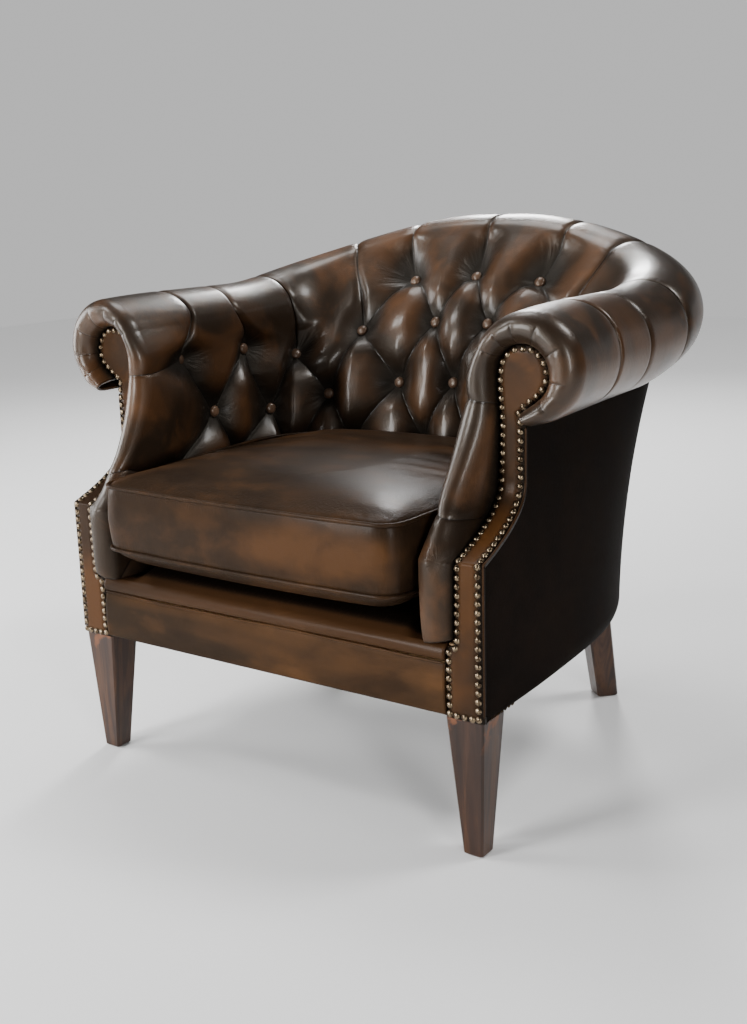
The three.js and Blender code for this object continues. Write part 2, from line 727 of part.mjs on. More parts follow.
function padSurface(column, index) {
  const c = Math.abs(column);
  const { along, row } = padPlace(c, index);
  const out = rimFullness(c, row) - padDepth(c, index);
  const point = sectionPoint(c, along).addScaledVector(padNormal(c, along), out);
  if (index === 0) point.z = PAD_BOTTOM;
  point.x *= Math.sign(column) || 1;
  return sweepPad(point);
}

// The direction that the leather faces at a place of the section.
function padNormal(column, along) {
  const step = 0.02;
  const a = sectionPoint(column, Math.max(along - step, 0));
  const b = sectionPoint(column, Math.min(along + step, SECTION_SPANS));
  const up = b.sub(a).normalize();
  const c = sectionPoint(Math.max(column - step, 0), along);
  const d = sectionPoint(Math.min(column + step, FRONT_COLUMN), along);
  const forward = d.sub(c).normalize();
  return forward.cross(up).normalize();
}

function roundCore(column, degrees, gap = 0) {
  const widening = smooth((column - RIM_COLUMN) / RIM_SPREAD_share);
  const radius = mix(CORE_RADIUS, FACING_CORE_RADIUS, widening) - gap;
  const inset = mix(CORE_INSET, FACING_CORE_INSET, widening);
  return roundRoll(column, degrees, radius, inset, CORE_DROP);
}

// The back of the stuffing: up the inside of the frame, round the core, out to the neck.
function coreSection(column) {
  const wall = [0, 1, 2, 3].map((row) => wallPoint(corePlans, column, row));
  const round = CORE_ANGLES.map((degrees) => roundCore(column, degrees));
  const reach = rollRadius(rollStation(column)) * TAIL_share;
  return [...wall, ...round, roundRoll(column, 270, reach, TAIL_INSET)];
}

// One section ring of a pad. closing 0 is the full thickness, 1 the tip of the rim.
function padRing(column, closing = 0, forward = 0) {
  const side = Math.sign(column) || 1;
  const c = Math.abs(column);
  const outerRing = Array.from({ length: PAD_POINTS }, (_, n) => padSurface(c, n));
  const core = coreSection(c).map((p) => sweepPad(p));
  const at = (list, share) => {
    const place = share * (list.length - 1);
    const low = Math.min(Math.floor(place), list.length - 2);
    return list[low].clone().lerp(list[low + 1], place - low);
  };
  const ring = outerRing.map((p, n) => p.clone().lerp(at(core, n / (PAD_POINTS - 1)), closing / 2));
  core
    .map((p, n) => p.clone().lerp(at(outerRing, n / (core.length - 1)), closing / 2))
    .reverse()
    .forEach((p) => ring.push(p));
  ring.forEach((p) => {
    p.y -= forward;
    p.x *= side;
  });
  return ring;
}

function padColumns(from, to) {
  const steps = Math.round((to - from) * PITCH_STEPS);
  return Array.from({ length: steps + 1 }, (_, k) => from + k / PITCH_STEPS);
}

// Skins a pad over its columns, then over the rings of its rim where it has one.
function padSolid(columns, rim = []) {
  const rings = [...columns.map((column) => padRing(column)), ...rim];
  const depthAt = (r, k) => (r < columns.length && k < PAD_POINTS ? padDepth(columns[r], k) : 0);
  return skin(rings, { near: PAD_POINTS, depthAt });
}

// A button: a low dome on a short skirt, revolved about its own axis.
function buttonGeometry(grow = 0) {
  const r = BUTTON_RADIUS + grow;
  const h = BUTTON_HEIGHT + grow;
  const profile = [
    new THREE.Vector2(0, -grow),
    new THREE.Vector2(r * BUTTON_SKIRT_share, -grow),
    new THREE.Vector2(r, h * BUTTON_LEVEL_shares[0]),
    new THREE.Vector2(r * BUTTON_SHOULDER_share, h * BUTTON_LEVEL_shares[1]),
    new THREE.Vector2(0, h),
  ];
  const geometry = new THREE.LatheGeometry(profile, BUTTON_SIDES);
  geometry.rotateX(Math.PI / 2);
  return geometry;
}

// Seats a button in its dimple: its axis along the way that the leather faces.
function placeButton(geometry, column, row) {
  const c = Math.abs(column);
  const along = rowPlace(row, c);
  const facing = padNormal(c, along);
  const point = sectionPoint(c, along).addScaledVector(facing, -BUTTON_DEPTH);
  const side = Math.sign(column) || 1;
  point.x *= side;
  facing.x *= side;
  sweepPad(point);
  const turn = new THREE.Quaternion().setFromUnitVectors(new THREE.Vector3(0, 0, 1), facing);
  geometry.applyQuaternion(turn);
  geometry.translate(point.x, point.y, point.z);
  return geometry;
}

function pockets(from, to) {
  return BUTTONS.filter(([column]) => column >= from && column <= to).map(([column, row]) =>
    placeButton(buttonGeometry(SEAT_GAP), column, row),
  );
}

function addPads() {
  const seam = 2.5;
  const slit = (SEAT_GAP * 2) / MEAN_PITCH;
  const columns = padColumns(-seam, seam);
  columns[0] += slit;
  columns[columns.length - 1] -= slit;
  add("inside_back", cut(padSolid(columns), pockets(-seam, seam)), LEATHER);
  const armColumns = padColumns(seam, FRONT_COLUMN);
  armColumns[0] += slit;
  const rim = RIM_TURNS.map((degrees) => {
    const turn = THREE.MathUtils.degToRad(degrees);
    return padRing(FRONT_COLUMN, 1 - Math.cos(turn), NOSE * Math.sin(turn));
  });
  addPair("inside_arm", cut(padSolid(armColumns, rim), pockets(seam, FRONT_COLUMN)), LEATHER);
}

function addButtons() {
  const counts = {};
  for (const [column, row] of BUTTONS) {
    counts[row] = (counts[row] ?? 0) + 1;
    const name = "button_row" + row + "_" + counts[row];
    add(name, placeButton(buttonGeometry(), column, row), WORN_LEATHER);
  }
}

// The facing's outline above the deck is the core's; below it runs straight down.
function facingOutline(inset) {
  const core = coreSection(FRONT_COLUMN);
  const centre = new THREE.Vector3();
  const inner = core.map((p, n) => {
    const before = core[Math.max(n - 1, 0)];
    const after = core[Math.min(n + 1, core.length - 1)];
    const along = centre.copy(after).sub(before).normalize();
    const inward = new THREE.Vector3(along.z, 0, -along.x);
    return p.clone().addScaledVector(inward, inset);
  });
  return inner;
}

// Where the outline of a facing lies at one height: its inner and its outer edge.
function facingSpan(outline, z, outerDepth) {
  const crossings = [];
  const height = Math.max(z, PAD_BOTTOM + SEAT_GAP);
  for (let n = 0; n + 1 < outline.length; n++) {
    const [a, b] = [outline[n], outline[n + 1]];
    if ((a.z - height) * (b.z - height) <= 0 && a.z !== b.z) {
      crossings.push(mix(a.x, b.x, (height - a.z) / (b.z - a.z)));
    }
  }
  const tail = outline.at(-1);
  const lowEdge = FACING_FOOT_HALF + SEAT_GAP;
  const inner = z < PAD_BOTTOM - SEAT_GAP * 1.5 ? lowEdge : Math.min(...crossings);
  if (z < neckHeight(1)) return [inner, coverPoint(1, z, outerDepth).x];
  return [inner, z < tail.z ? tail.x : Math.max(...crossings)];
}

const BOARD_TIP = 0.4; // from a board's last ring to its highest point

// A board with the facing's outline, between two depths behind the front, swept with it.
function facingBoard({ front, back, bottom, outerDepth, inset, crown = 0 }) {
  const outline = facingOutline(inset);
  const top = Math.max(...outline.map((p) => p.z));
  const tail = outline.at(-1).z;
  const heights = [bottom, mix(bottom, PAD_BOTTOM, 0.5), PAD_BOTTOM - SEAT_GAP * 2];
  heights.push(PAD_BOTTOM - SEAT_GAP, mix(PAD_BOTTOM, SWEEP_LOW, 0.5), ...SWEEP_LEVELS);
  heights.push(neckHeight(1) - SEAT_GAP, tail - SEAT_GAP, tail + SEAT_GAP);
  outline.forEach((p) => {
    if (p.z > SWEEP_HIGH + 1 && Math.abs(p.z - tail) > 1 && p.z < top - 0.5) heights.push(p.z);
  });
  heights.push(top - BOARD_TIP);
  heights.sort((a, b) => a - b);
  const rings = heights.map((z) => {
    const [inner, outer] = facingSpan(outline, z, outerDepth);
    const middle = (inner + outer) / 2;
    const ring = [
      new THREE.Vector3(inner, front, z),
      new THREE.Vector3(middle, front - crown, z),
      new THREE.Vector3(outer, front, z),
      new THREE.Vector3(outer, back, z),
      new THREE.Vector3(inner, back, z),
    ];
    ring.forEach((p) => (p.y += sweptBack(z)));
    return ring;
  });
  return skin(rings);
}

function addFacings() {
  const panel = facingBoard({
    front: 0,
    back: FACING_THICKNESS,
    bottom: LEG_HEIGHT + SEAT_GAP,
    outerDepth: 0,
    inset: SEAT_GAP * 2,
    crown: FACING_CROWN,
  });
  addPair("arm_facing", panel, WORN_LEATHER);
  const post = facingBoard({
    front: FACING_THICKNESS + SEAT_GAP,
    back: FACING_THICKNESS + SEAT_GAP + POST_THICKNESS,
    bottom: RAIL_BOTTOM,
    outerDepth: COVER_THICKNESS + FRAME_GAP * 2,
    inset: FRAME_GAP * 2,
  });
  addPair("arm_post", cut(post, [spigot(...frontLegTop(), SEAT_GAP)]), BEECH);
}

const postBack = FACING_THICKNESS + SEAT_GAP + POST_THICKNESS;
const railDepth = COVER_THICKNESS + FRAME_GAP;
const uprightDepth = COVER_THICKNESS + FRAME_GAP * 3;
// where the rear corners of the frame lie, counted in the cover's columns
const legShare = 7 / COVER_STEPS;
const railJointShare = 10 / COVER_STEPS;

function addSeatRails() {
  const along = { low: RAIL_BOTTOM, high: () => RAIL_TOP, outer: railDepth };
  const inner = railDepth + RAIL_THICKNESS;
  const gapShare = SEAT_GAP / basePlan.getLength();
  const frontShare = 1 - (postBack + SEAT_GAP) / basePlan.getLength();
  const side = followBlock({ ...along, inner, from: railJointShare + gapShare, to: frontShare });
  addPair("seat_rail", side, BEECH);
  const rear = followBlock({ ...along, inner, from: -railJointShare, to: railJointShare });
  const [x, y] = rearLegTop();
  const holes = [spigot(x, y, SEAT_GAP), spigot(-x, y, SEAT_GAP)];
  add("rear_seat_rail", cut(rear, holes), BEECH);
  const half = FACING_FOOT_HALF - SEAT_GAP;
  const front = new THREE.BoxGeometry(half * 2, POST_THICKNESS, RAIL_TOP - RAIL_BOTTOM);
  front.translate(0, postBack - POST_THICKNESS / 2, (RAIL_TOP + RAIL_BOTTOM) / 2);
  add("front_seat_rail", front, BEECH);
}

function prism(points, low, high) {
  const shape = new THREE.Shape(points.map(([x, y]) => new THREE.Vector2(x, y)));
  const geometry = new THREE.ExtrudeGeometry(shape, { depth: high - low, bevelEnabled: false });
  geometry.translate(0, 0, low);
  return outward(indexed(geometry));
}

function addCornerBlocks() {
  const railInner = HALF_WIDTH - railDepth - RAIL_THICKNESS - SEAT_GAP * 2;
  const start = postBack + SEAT_GAP;
  const front = prism(
    [
      [railInner, start],
      [railInner, start + BLOCK_LENGTH],
      [railInner - BLOCK_LENGTH, start],
    ],
    RAIL_BOTTOM,
    BLOCK_TOP,
  );
  addPair("front_corner_block", front, BEECH);
  const outer = railDepth + RAIL_THICKNESS + SEAT_GAP;
  const rear = followBlock({
    from: railJointShare - 1 / COVER_STEPS,
    to: railJointShare + 1 / COVER_STEPS,
    low: RAIL_BOTTOM,
    high: () => BLOCK_TOP,
    outer,
    inner: outer + BLOCK_THICKNESS,
  });
  addPair("rear_corner_block", rear, BEECH);
}

// The underside of the rail in the roll.
function underRail(share) {
  return rollHeight(share) - CORE_DROP - CORE_RADIUS + FRAME_GAP;
}

function addUprights() {
  const shape = {
    low: RAIL_TOP + SEAT_GAP,
    high: (share) => underRail(share) - SEAT_GAP,
    outer: uprightDepth,
    inner: uprightDepth + UPRIGHT_DEPTH,
  };
  const half = UPRIGHT_WIDTH / 2 / neckPlan.getLength();
  const centre = followBlock({ ...shape, from: -half, to: half, lean: CENTRE_UPRIGHT_LEAN });
  add("centre_upright", centre, BEECH);
  const [from, to] = [legShare - half, legShare + half];
  const rear = followBlock({ ...shape, from, to, lean: REAR_UPRIGHT_LEAN });
  addPair("rear_upright", rear, BEECH);
}

// The shaped rail that fills the roll's core. Its own angles close the ring underneath.
const RAIL_ANGLES = [245, 270, 295, 330];
function railRing(column) {
  const side = Math.sign(column) || 1;
  const angles = [...CORE_ANGLES, ...RAIL_ANGLES];
  return angles.map((degrees) => {
    const p = sweep(roundCore(Math.abs(column), degrees, FRAME_GAP));
    p.x *= side;
    return p;
  });
}

function railRings(from, to) {
  return padColumns(from, to).map(railRing);
}

function addRollRails() {
  const joint = 2;
  const slit = SEAT_GAP / MEAN_PITCH / 2;
  const back = railRings(-joint, joint);
  back[0] = railRing(-joint + slit);
  back[back.length - 1] = railRing(joint - slit);
  add("back_rail", skin(back), BEECH);
  const arm = railRings(joint, FRONT_COLUMN - 1 / PITCH_STEPS);
  arm[0] = railRing(joint + slit);
  const last = arm.at(-1).map((p) => {
    const end = p.clone();
    end.y = SWEEP_BACK + postBack + SEAT_GAP;
    return end;
  });
  arm.push(last);
  addPair("arm_rail", skin(arm.filter((ring) => ring[0].y > last[0].y - 1 || ring === last)), BEECH);
}

function addCovers() {
  const seam = 6 / COVER_STEPS;
  const slit = SEAT_GAP / neckPlan.getLength() / 2;
  const shape = {
    low: LEG_HEIGHT + SEAT_GAP,
    high: (share) => neckHeight(share) - SEAT_GAP,
    outer: 0,
    inner: COVER_THICKNESS,
  };
  add("outer_back_cover", followBlock({ ...shape, from: -seam + slit, to: seam - slit }), LEATHER);
  const first = FACING_THICKNESS + SEAT_GAP;
  const side = followBlock({ ...shape, from: seam + slit, to: 1, first });
  addPair("outer_arm_cover", side, LEATHER);
}

// Legs
function frontLegTop() {
  const centre = FRONT_LEG_TOP_INSET + FRONT_LEG_TOP / 2;
  return [HALF_WIDTH - centre, centre];
}

function rearLegTop() {
  const { x, y } = coverPoint(legShare, LEG_HEIGHT + COVER_TUCK_HEIGHT, REAR_LEG_TOP_INSET);
  return [x, y];
}

const SPIGOT_SIDES = 10;

function spigot(x, y, grow = 0) {
  const length = SPIGOT_LENGTH + LEG_EDGE + grow * 2;
  const radius = SPIGOT_RADIUS + grow;
  const geometry = new THREE.CylinderGeometry(radius, radius, length, SPIGOT_SIDES);
  geometry.rotateX(Math.PI / 2);
  geometry.translate(x, y, LEG_HEIGHT - LEG_EDGE - grow + length / 2);
  return geometry;
}

function bevelledSquare(x, y, side, z, turn) {
  const h = side / 2;
  const c = h - LEG_EDGE;
  const corners = [
    [h, -c],
    [h, c],
    [c, h],
    [-c, h],
    [-h, c],
    [-h, -c],
    [-c, -h],
    [c, -h],
  ];
  const up = new THREE.Vector3(0, 0, 1);
  const centre = new THREE.Vector3(x, y, z);
  return corners.map(([dx, dy]) => new THREE.Vector3(dx, dy, 0).applyAxisAngle(up, turn).add(centre));
}

// A square leg that tapers to its foot, with a spigot that goes up into the frame.
function leg(top, foot, turn = 0) {
  const rings = [
    bevelledSquare(foot.x, foot.y, foot.side - LEG_EDGE * 2, 0, turn),
    bevelledSquare(foot.x, foot.y, foot.side, LEG_EDGE, turn),
    bevelledSquare(top.x, top.y, top.side, LEG_HEIGHT, turn),
  ];
  return join([skin(rings), spigot(top.x, top.y)]);
}

function addLegs() {
  const [x, y] = frontLegTop();
  const footCentre = FRONT_FOOT_INSET + FRONT_LEG_FOOT / 2;
  const front = leg(
    { x, y, side: FRONT_LEG_TOP },
    { x: HALF_WIDTH - footCentre, y: footCentre, side: FRONT_LEG_FOOT },
  );
  addPair("front_leg", front, WALNUT);
  const [rearX, rearY] = rearLegTop();
  const facing = basePlan.station(legShare).outward;
  const rear = leg(
    { x: rearX, y: rearY, side: REAR_LEG_TOP },
    { x: REAR_FOOT_X, y: REAR_FOOT_Y, side: REAR_LEG_FOOT },
    -Math.atan2(facing.x, facing.y),
  );
  addPair("rear_leg", rear, WALNUT);
}

// Seat platform
function strap(name, path, width, alongX) {
  // path holds the strap's middle line as places along it with heights
  const rings = path.map(([place, height]) => {
    const h = WEB_THICKNESS / 2;
    const corners = [
      [-width / 2, -h],
      [width / 2, -h],
      [width / 2, h],
      [-width / 2, h],
    ];
    return corners.map(([across, up]) =>
      alongX.axis === "x"
        ? new THREE.Vector3(place, alongX.at + across, height + up)
        : new THREE.Vector3(alongX.at + across, place, height + up),
    );
  });
  add(name, skin(rings), JUTE);
}

function addWebbing() {
  const level = RAIL_TOP + SEAT_GAP + WEB_THICKNESS / 2;
  const lift = WEB_THICKNESS + SEAT_GAP;
  const railMiddle = railDepth + RAIL_THICKNESS / 2;
  const spread = [-1, 0, 1];
  for (const k of spread) {
    const x = k * LONG_WEB_SPACING;
    const share = x === 0 ? 0 : 4 / COVER_STEPS;
    const end = coverPoint(share, RAIL_TOP, uprightDepth + UPRIGHT_DEPTH).y - FRAME_GAP;
    const path = [
      [postBack - POST_THICKNESS / 2, level],
      [end, level],
    ];
    strap("seat_web_long_" + (k + 2), path, WEB_WIDTH, { axis: "y", at: x });
  }
  spread.forEach((_, row) => {
    const y = CROSS_WEB_FIRST + row * CROSS_WEB_SPACING;
    const beyond = Math.max(y + WEB_WIDTH / 2 - BASE_SIDE_LENGTH, 0) / BASE_BEND_DEPTH;
    const half = HALF_WIDTH * (1 - beyond ** BASE_POWER) ** (1 / BASE_POWER);
    const end = half - railMiddle;
    const path = [[-end, level]];
    spread.forEach((k) => {
      const over = (k + row) % 2 === 0 ? lift : -lift;
      const near = WEB_WIDTH / 2 + WEB_EASE;
      path.push([k * LONG_WEB_SPACING - near, level + over]);
      path.push([k * LONG_WEB_SPACING + near, level + over]);
    });
    path.push([end, level]);
    strap("seat_web_cross_" + (row + 1), path, WEB_WIDTH, { axis: "x", at: y });
  });
}

const CORNER_CLEAR_share = 1.05; // of a corner, kept clear of the side's own points

// A closed outline of the seat: straight front, then round the tub and back.
function seatOutline({ half, frontHalf, front, back, bend, corner, bow, height }) {
  const bendStart = back - bend;
  const plan = new TubPlan(half, bendStart, bend, ROLL_POWER);
  const side = Array.from({ length: OUTLINE_STEPS }, (_, k) => {
    const p = plan.station(k / OUTLINE_STEPS).point;
    const forward = THREE.MathUtils.clamp(1 - p.y / bendStart, 0, 1);
    p.x *= mix(1, frontHalf / half, smooth(forward));
    p.y += front * forward;
    return p;
  });
  const round = CORNER_TURNS.map((degrees) => {
    const a = THREE.MathUtils.degToRad(degrees);
    const x = frontHalf - corner + corner * Math.cos(a);
    return new THREE.Vector3(x, front + corner - corner * Math.sin(a), 0);
  });
  const right = [...side.filter((p) => p.y > front + corner * CORNER_CLEAR_share), ...round];
  right.push(new THREE.Vector3((frontHalf - corner) / 2, front - bow * BOW_share, 0));
  const left = right.slice(1).map((p) => new THREE.Vector3(-p.x, p.y, 0));
  const ring = [...right, new THREE.Vector3(0, front - bow, 0), ...left.reverse()];
  ring.forEach((p) => (p.z = height));
  return ring;
}

function addDeck() {
  const half = FACING_FOOT_HALF - SEAT_GAP;
  const slab = { half, frontHalf: half, front: 0, back: DECK_BACK, corner: DECK_CORNER, bow: DECK_BOW };
  slab.bend = BASE_BEND_DEPTH * DECK_BEND_share;
  const crown = {
    half: INSIDE_HALF - SEAT_GAP * 2,
    frontHalf: INSIDE_HALF - NOSE,
    back: INSIDE_DEPTH - SEAT_GAP * 3,
    bend: INSIDE_BEND_DEPTH,
    corner: DECK_CROWN_CORNER,
    bow: DECK_BOW,
  };
  const rings = [
    seatOutline({ ...slab, height: RAIL_TOP + SEAT_GAP * 3 + WEB_THICKNESS * 2 }),
    seatOutline({ ...slab, height: DECK_EDGE }),
  ];
  for (const [level, forward, drawn] of DECK_CROWN_shares) {
    const height = mix(DECK_EDGE, DECK_TOP, level);
    const ring = seatOutline({ ...crown, front: DECK_CROWN_DRAW * forward, height });
    rings.push(inset(ring, DECK_CROWN_DRAW * drawn));
  }
  add("seat_deck", skin(rings), LEATHER);
}

// Draws an outline in towards its middle.
function inset(ring, by) {
  const box = new THREE.Box3().setFromPoints(ring);
  const centre = box.getCenter(new THREE.Vector3());
  const size = box.getSize(new THREE.Vector3());
  ring.forEach((p) => {
    p.x = centre.x + (p.x - centre.x) * (1 - (2 * by) / size.x);
    p.y = centre.y + (p.y - centre.y) * (1 - (2 * by) / size.y);
  });
  return ring;
}

function addFrontBorder() {
  const depth = FACING_THICKNESS;
  const low = LEG_HEIGHT + SEAT_GAP;
  const shape = new THREE.Shape();
  shape.moveTo(depth, low);
  shape.lineTo(0, low);
  shape.quadraticCurveTo(-BORDER_CROWN, (low + BORDER_TOP) / 2, 0, BORDER_TOP);
  shape.lineTo(depth, BORDER_TOP);
  const width = (FACING_FOOT_HALF - SEAT_GAP) * 2;
  const geometry = new THREE.ExtrudeGeometry(shape, {
    depth: width,
    bevelEnabled: false,
    curveSegments: BORDER_STEPS,
  });
  // the section's own x and y become the chair's y and z
  geometry.applyMatrix4(new THREE.Matrix4().set(0, 0, 1, -width / 2, 1, 0, 0, 0, 0, 1, 0, 0, 0, 0, 0, 1));
  add("front_border", outward(indexed(geometry)), LEATHER);
}

function indexed(geometry) {
  geometry.deleteAttribute("normal");
  geometry.deleteAttribute("uv");
  return mergeVertices(geometry, 1e-4);
}

function addDustCover() {
  const low = LEG_HEIGHT + SEAT_GAP;
  const depth = COVER_THICKNESS + COVER_TUCK + FRAME_GAP;
  const outline = [];
  for (let k = -COVER_STEPS; k <= COVER_STEPS; k++) {
    const share = Math.abs(k) / COVER_STEPS;
    const p = coverPoint(share, LEG_HEIGHT + COVER_TUCK_HEIGHT, depth);
    p.y = Math.max(p.y, FACING_THICKNESS + FRAME_GAP);
    outline.push([p.x * (Math.sign(k) || 1), p.y]);
  }
  const sheet = prism(outline, low, low + DUST_COVER_THICKNESS);
  const holes = [frontLegTop(), rearLegTop()].flatMap(([x, y]) => [
    spigot(x, y, SEAT_GAP),
    spigot(-x, y, SEAT_GAP),
  ]);
  add("dust_cover", cut(sheet, holes), CANVAS);
}

// The loose cushion: crowned above and below, boxed between two seams.
function addCushion() {
  const backAt = (height) => {
    const share = (height - PAD_BOTTOM) / (rollHeight(0) - PAD_BOTTOM);
    const row = WALL_shares.findIndex(([h]) => h > share);
    const [low, high] = [WALL_shares[row - 1], WALL_shares[row]];
    const rake = mix(low[2], high[2], (share - low[0]) / (high[0] - low[0]));
    return mix(INSIDE_DEPTH, ROLL_BACK - BACK_ROLL_RADIUS, rake) - CUSHION_BACK_GAP;
  };
  const bottom = DECK_TOP + SEAT_GAP;
  // each row is a height and how far the outline is drawn in there
  const rows = [
    ...CUSHION_UNDER_shares.map(([h, d]) => [mix(CUSHION_SEAM_LOW, bottom, h), CUSHION_DRAW * d]),
    ...CUSHION_BOXING_shares.map(([h, d]) => [CUSHION_SEAM_LOW + CUSHION_BOXING * h, -CUSHION_BULGE * d]),
    ...CUSHION_CROWN_shares.map(([h, d]) => [CUSHION_SEAM_HIGH + CUSHION_CROWN * h, CUSHION_DRAW * d]),
  ];
  const rings = rows.map(([height, drawn]) => {
    const back = backAt(THREE.MathUtils.clamp(height, CUSHION_SEAM_LOW, CUSHION_SEAM_HIGH));
    const ring = seatOutline({
      half: CUSHION_HALF - CUSHION_BULGE,
      frontHalf: CUSHION_FRONT_HALF,
      front: -CUSHION_FRONT,
      back,
      bend: INSIDE_BEND_DEPTH,
      corner: CUSHION_CORNER,
      bow: CUSHION_BOW,
      height,
    });
    const settling = Math.max(height - CUSHION_SEAM_LOW, 0) / CUSHION_BOXING;
    return inset(ring, drawn).map((p) => {
      const backward = Math.max(p.y / back, 0);
      p.z -= CUSHION_SETTLE * Math.min(settling, 1) * backward ** 2;
      return p;
    });
  });
  add("seat_cushion", skin(rings), LEATHER);
}

addLegs();
addFacings();
addSeatRails();
addCornerBlocks();
addUprights();
addRollRails();
addWebbing();
addDeck();
addFrontBorder();
addDustCover();
addCushion();
addPads();
addCovers();
addButtons();

// The origin is the middle of the footprint, on the floor.
const extent = new THREE.Box3().setFromObject(chair);
chair.position.y = -(extent.min.y + extent.max.y) / 2;
chair.position.z = -extent.min.z;

export default chair;
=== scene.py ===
import json
import math

import bmesh
import bpy
import numpy as np
from mathutils import Matrix, Vector, noise


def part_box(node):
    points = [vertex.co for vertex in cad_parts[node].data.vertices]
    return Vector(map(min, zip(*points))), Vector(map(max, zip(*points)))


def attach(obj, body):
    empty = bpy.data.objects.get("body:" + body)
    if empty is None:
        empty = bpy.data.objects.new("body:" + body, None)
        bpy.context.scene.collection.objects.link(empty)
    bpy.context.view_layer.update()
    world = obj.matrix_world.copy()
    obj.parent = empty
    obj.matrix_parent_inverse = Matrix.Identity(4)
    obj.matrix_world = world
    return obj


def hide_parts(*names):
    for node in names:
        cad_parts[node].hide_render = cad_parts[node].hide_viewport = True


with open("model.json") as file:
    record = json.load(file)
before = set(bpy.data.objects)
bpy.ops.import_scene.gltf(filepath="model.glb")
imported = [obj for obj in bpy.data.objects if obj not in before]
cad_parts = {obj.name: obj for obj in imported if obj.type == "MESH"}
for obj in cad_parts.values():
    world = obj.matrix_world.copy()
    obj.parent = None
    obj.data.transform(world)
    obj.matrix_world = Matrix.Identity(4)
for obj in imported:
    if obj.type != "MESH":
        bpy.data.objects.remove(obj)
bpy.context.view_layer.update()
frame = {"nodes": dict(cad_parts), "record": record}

# Camera
# The chair is seen from its front right, a little above the arms. Angles are in degrees
# round the chair and above the floor; the focal length is in pixels of the long side.
camera_azimuth, camera_lift, camera_roll = 35.947, 12.983, -2.073
camera_place = Vector((1.0596, -1.5824, 0.8061))
camera_shift = (0.0207, -0.0218)
photo_focal, photo_long_side = 1286.125, 1024.0
sensor_width = 36
az, el, roll = (math.radians(v) for v in (camera_azimuth, camera_lift, camera_roll))
back = Vector((math.sin(az) * math.cos(el), -math.cos(az) * math.cos(el), math.sin(el)))
level = Vector((math.cos(az), math.sin(az), 0))
upright = back.cross(level)
right = level * math.cos(roll) + upright * math.sin(roll)
up = upright * math.cos(roll) - level * math.sin(roll)
camera_data = bpy.data.cameras.new("camera")
camera_data.sensor_width = sensor_width
camera_data.lens = photo_focal * sensor_width / photo_long_side
camera_data.shift_x, camera_data.shift_y = camera_shift
camera = bpy.data.objects.new("camera", camera_data)
camera.matrix_world = Matrix.Translation(camera_place) @ Matrix((right, up, back)).transposed().to_4x4()
bpy.context.scene.collection.objects.link(camera)
bpy.context.scene.camera = camera


# Studio
# A plain pale floor that runs out of sight, a lit pale wall far behind the chair and dark
# surroundings elsewhere. Soft boxes stand in front, at both sides, behind it and over it.
floor_half = 6
floor_grey = (0.86, 0.86, 0.86, 1)
behind_way = (-0.58, 0.81, 0.05)
glow_near, glow_far, glow = 0.7, 3.2, (0.5, 0.5, 0.5)
wall_light, room_light = 0.58, 0.04


class Sum:
    """A number socket of a shader, so that sums on it can be written as Python."""

    def __init__(self, nodes, socket):
        self.nodes, self.socket = nodes, socket

    def math(self, operation, a, b):
        made = self.nodes.node("Math", {"operation": operation}, _0=a, _1=b)
        return self.nodes.number(made.outputs[0])

    def __add__(self, other):
        return self.math("ADD", self, other)

    def __radd__(self, other):
        return self.math("ADD", other, self)

    def __sub__(self, other):
        return self.math("SUBTRACT", self, other)

    def __rsub__(self, other):
        return self.math("SUBTRACT", other, self)

    def __mul__(self, other):
        return self.math("MULTIPLY", self, other)

    def __rmul__(self, other):
        return self.math("MULTIPLY", other, self)

    def __truediv__(self, other):
        return self.math("DIVIDE", self, other)

    def __rtruediv__(self, other):
        return self.math("DIVIDE", other, self)

    def least(self, other):
        return self.math("MINIMUM", self, other)

    def most(self, other):
        return self.math("MAXIMUM", self, other)

    def held(self):
        """Kept from 0 to 1."""
        return self.most(0.0).least(1.0)

    def fade(self, low, high):
        """0 at low, 1 at high and a smooth step between."""
        t = ((self - low) / (high - low)).held()
        return t * t * (3.0 - 2.0 * t)


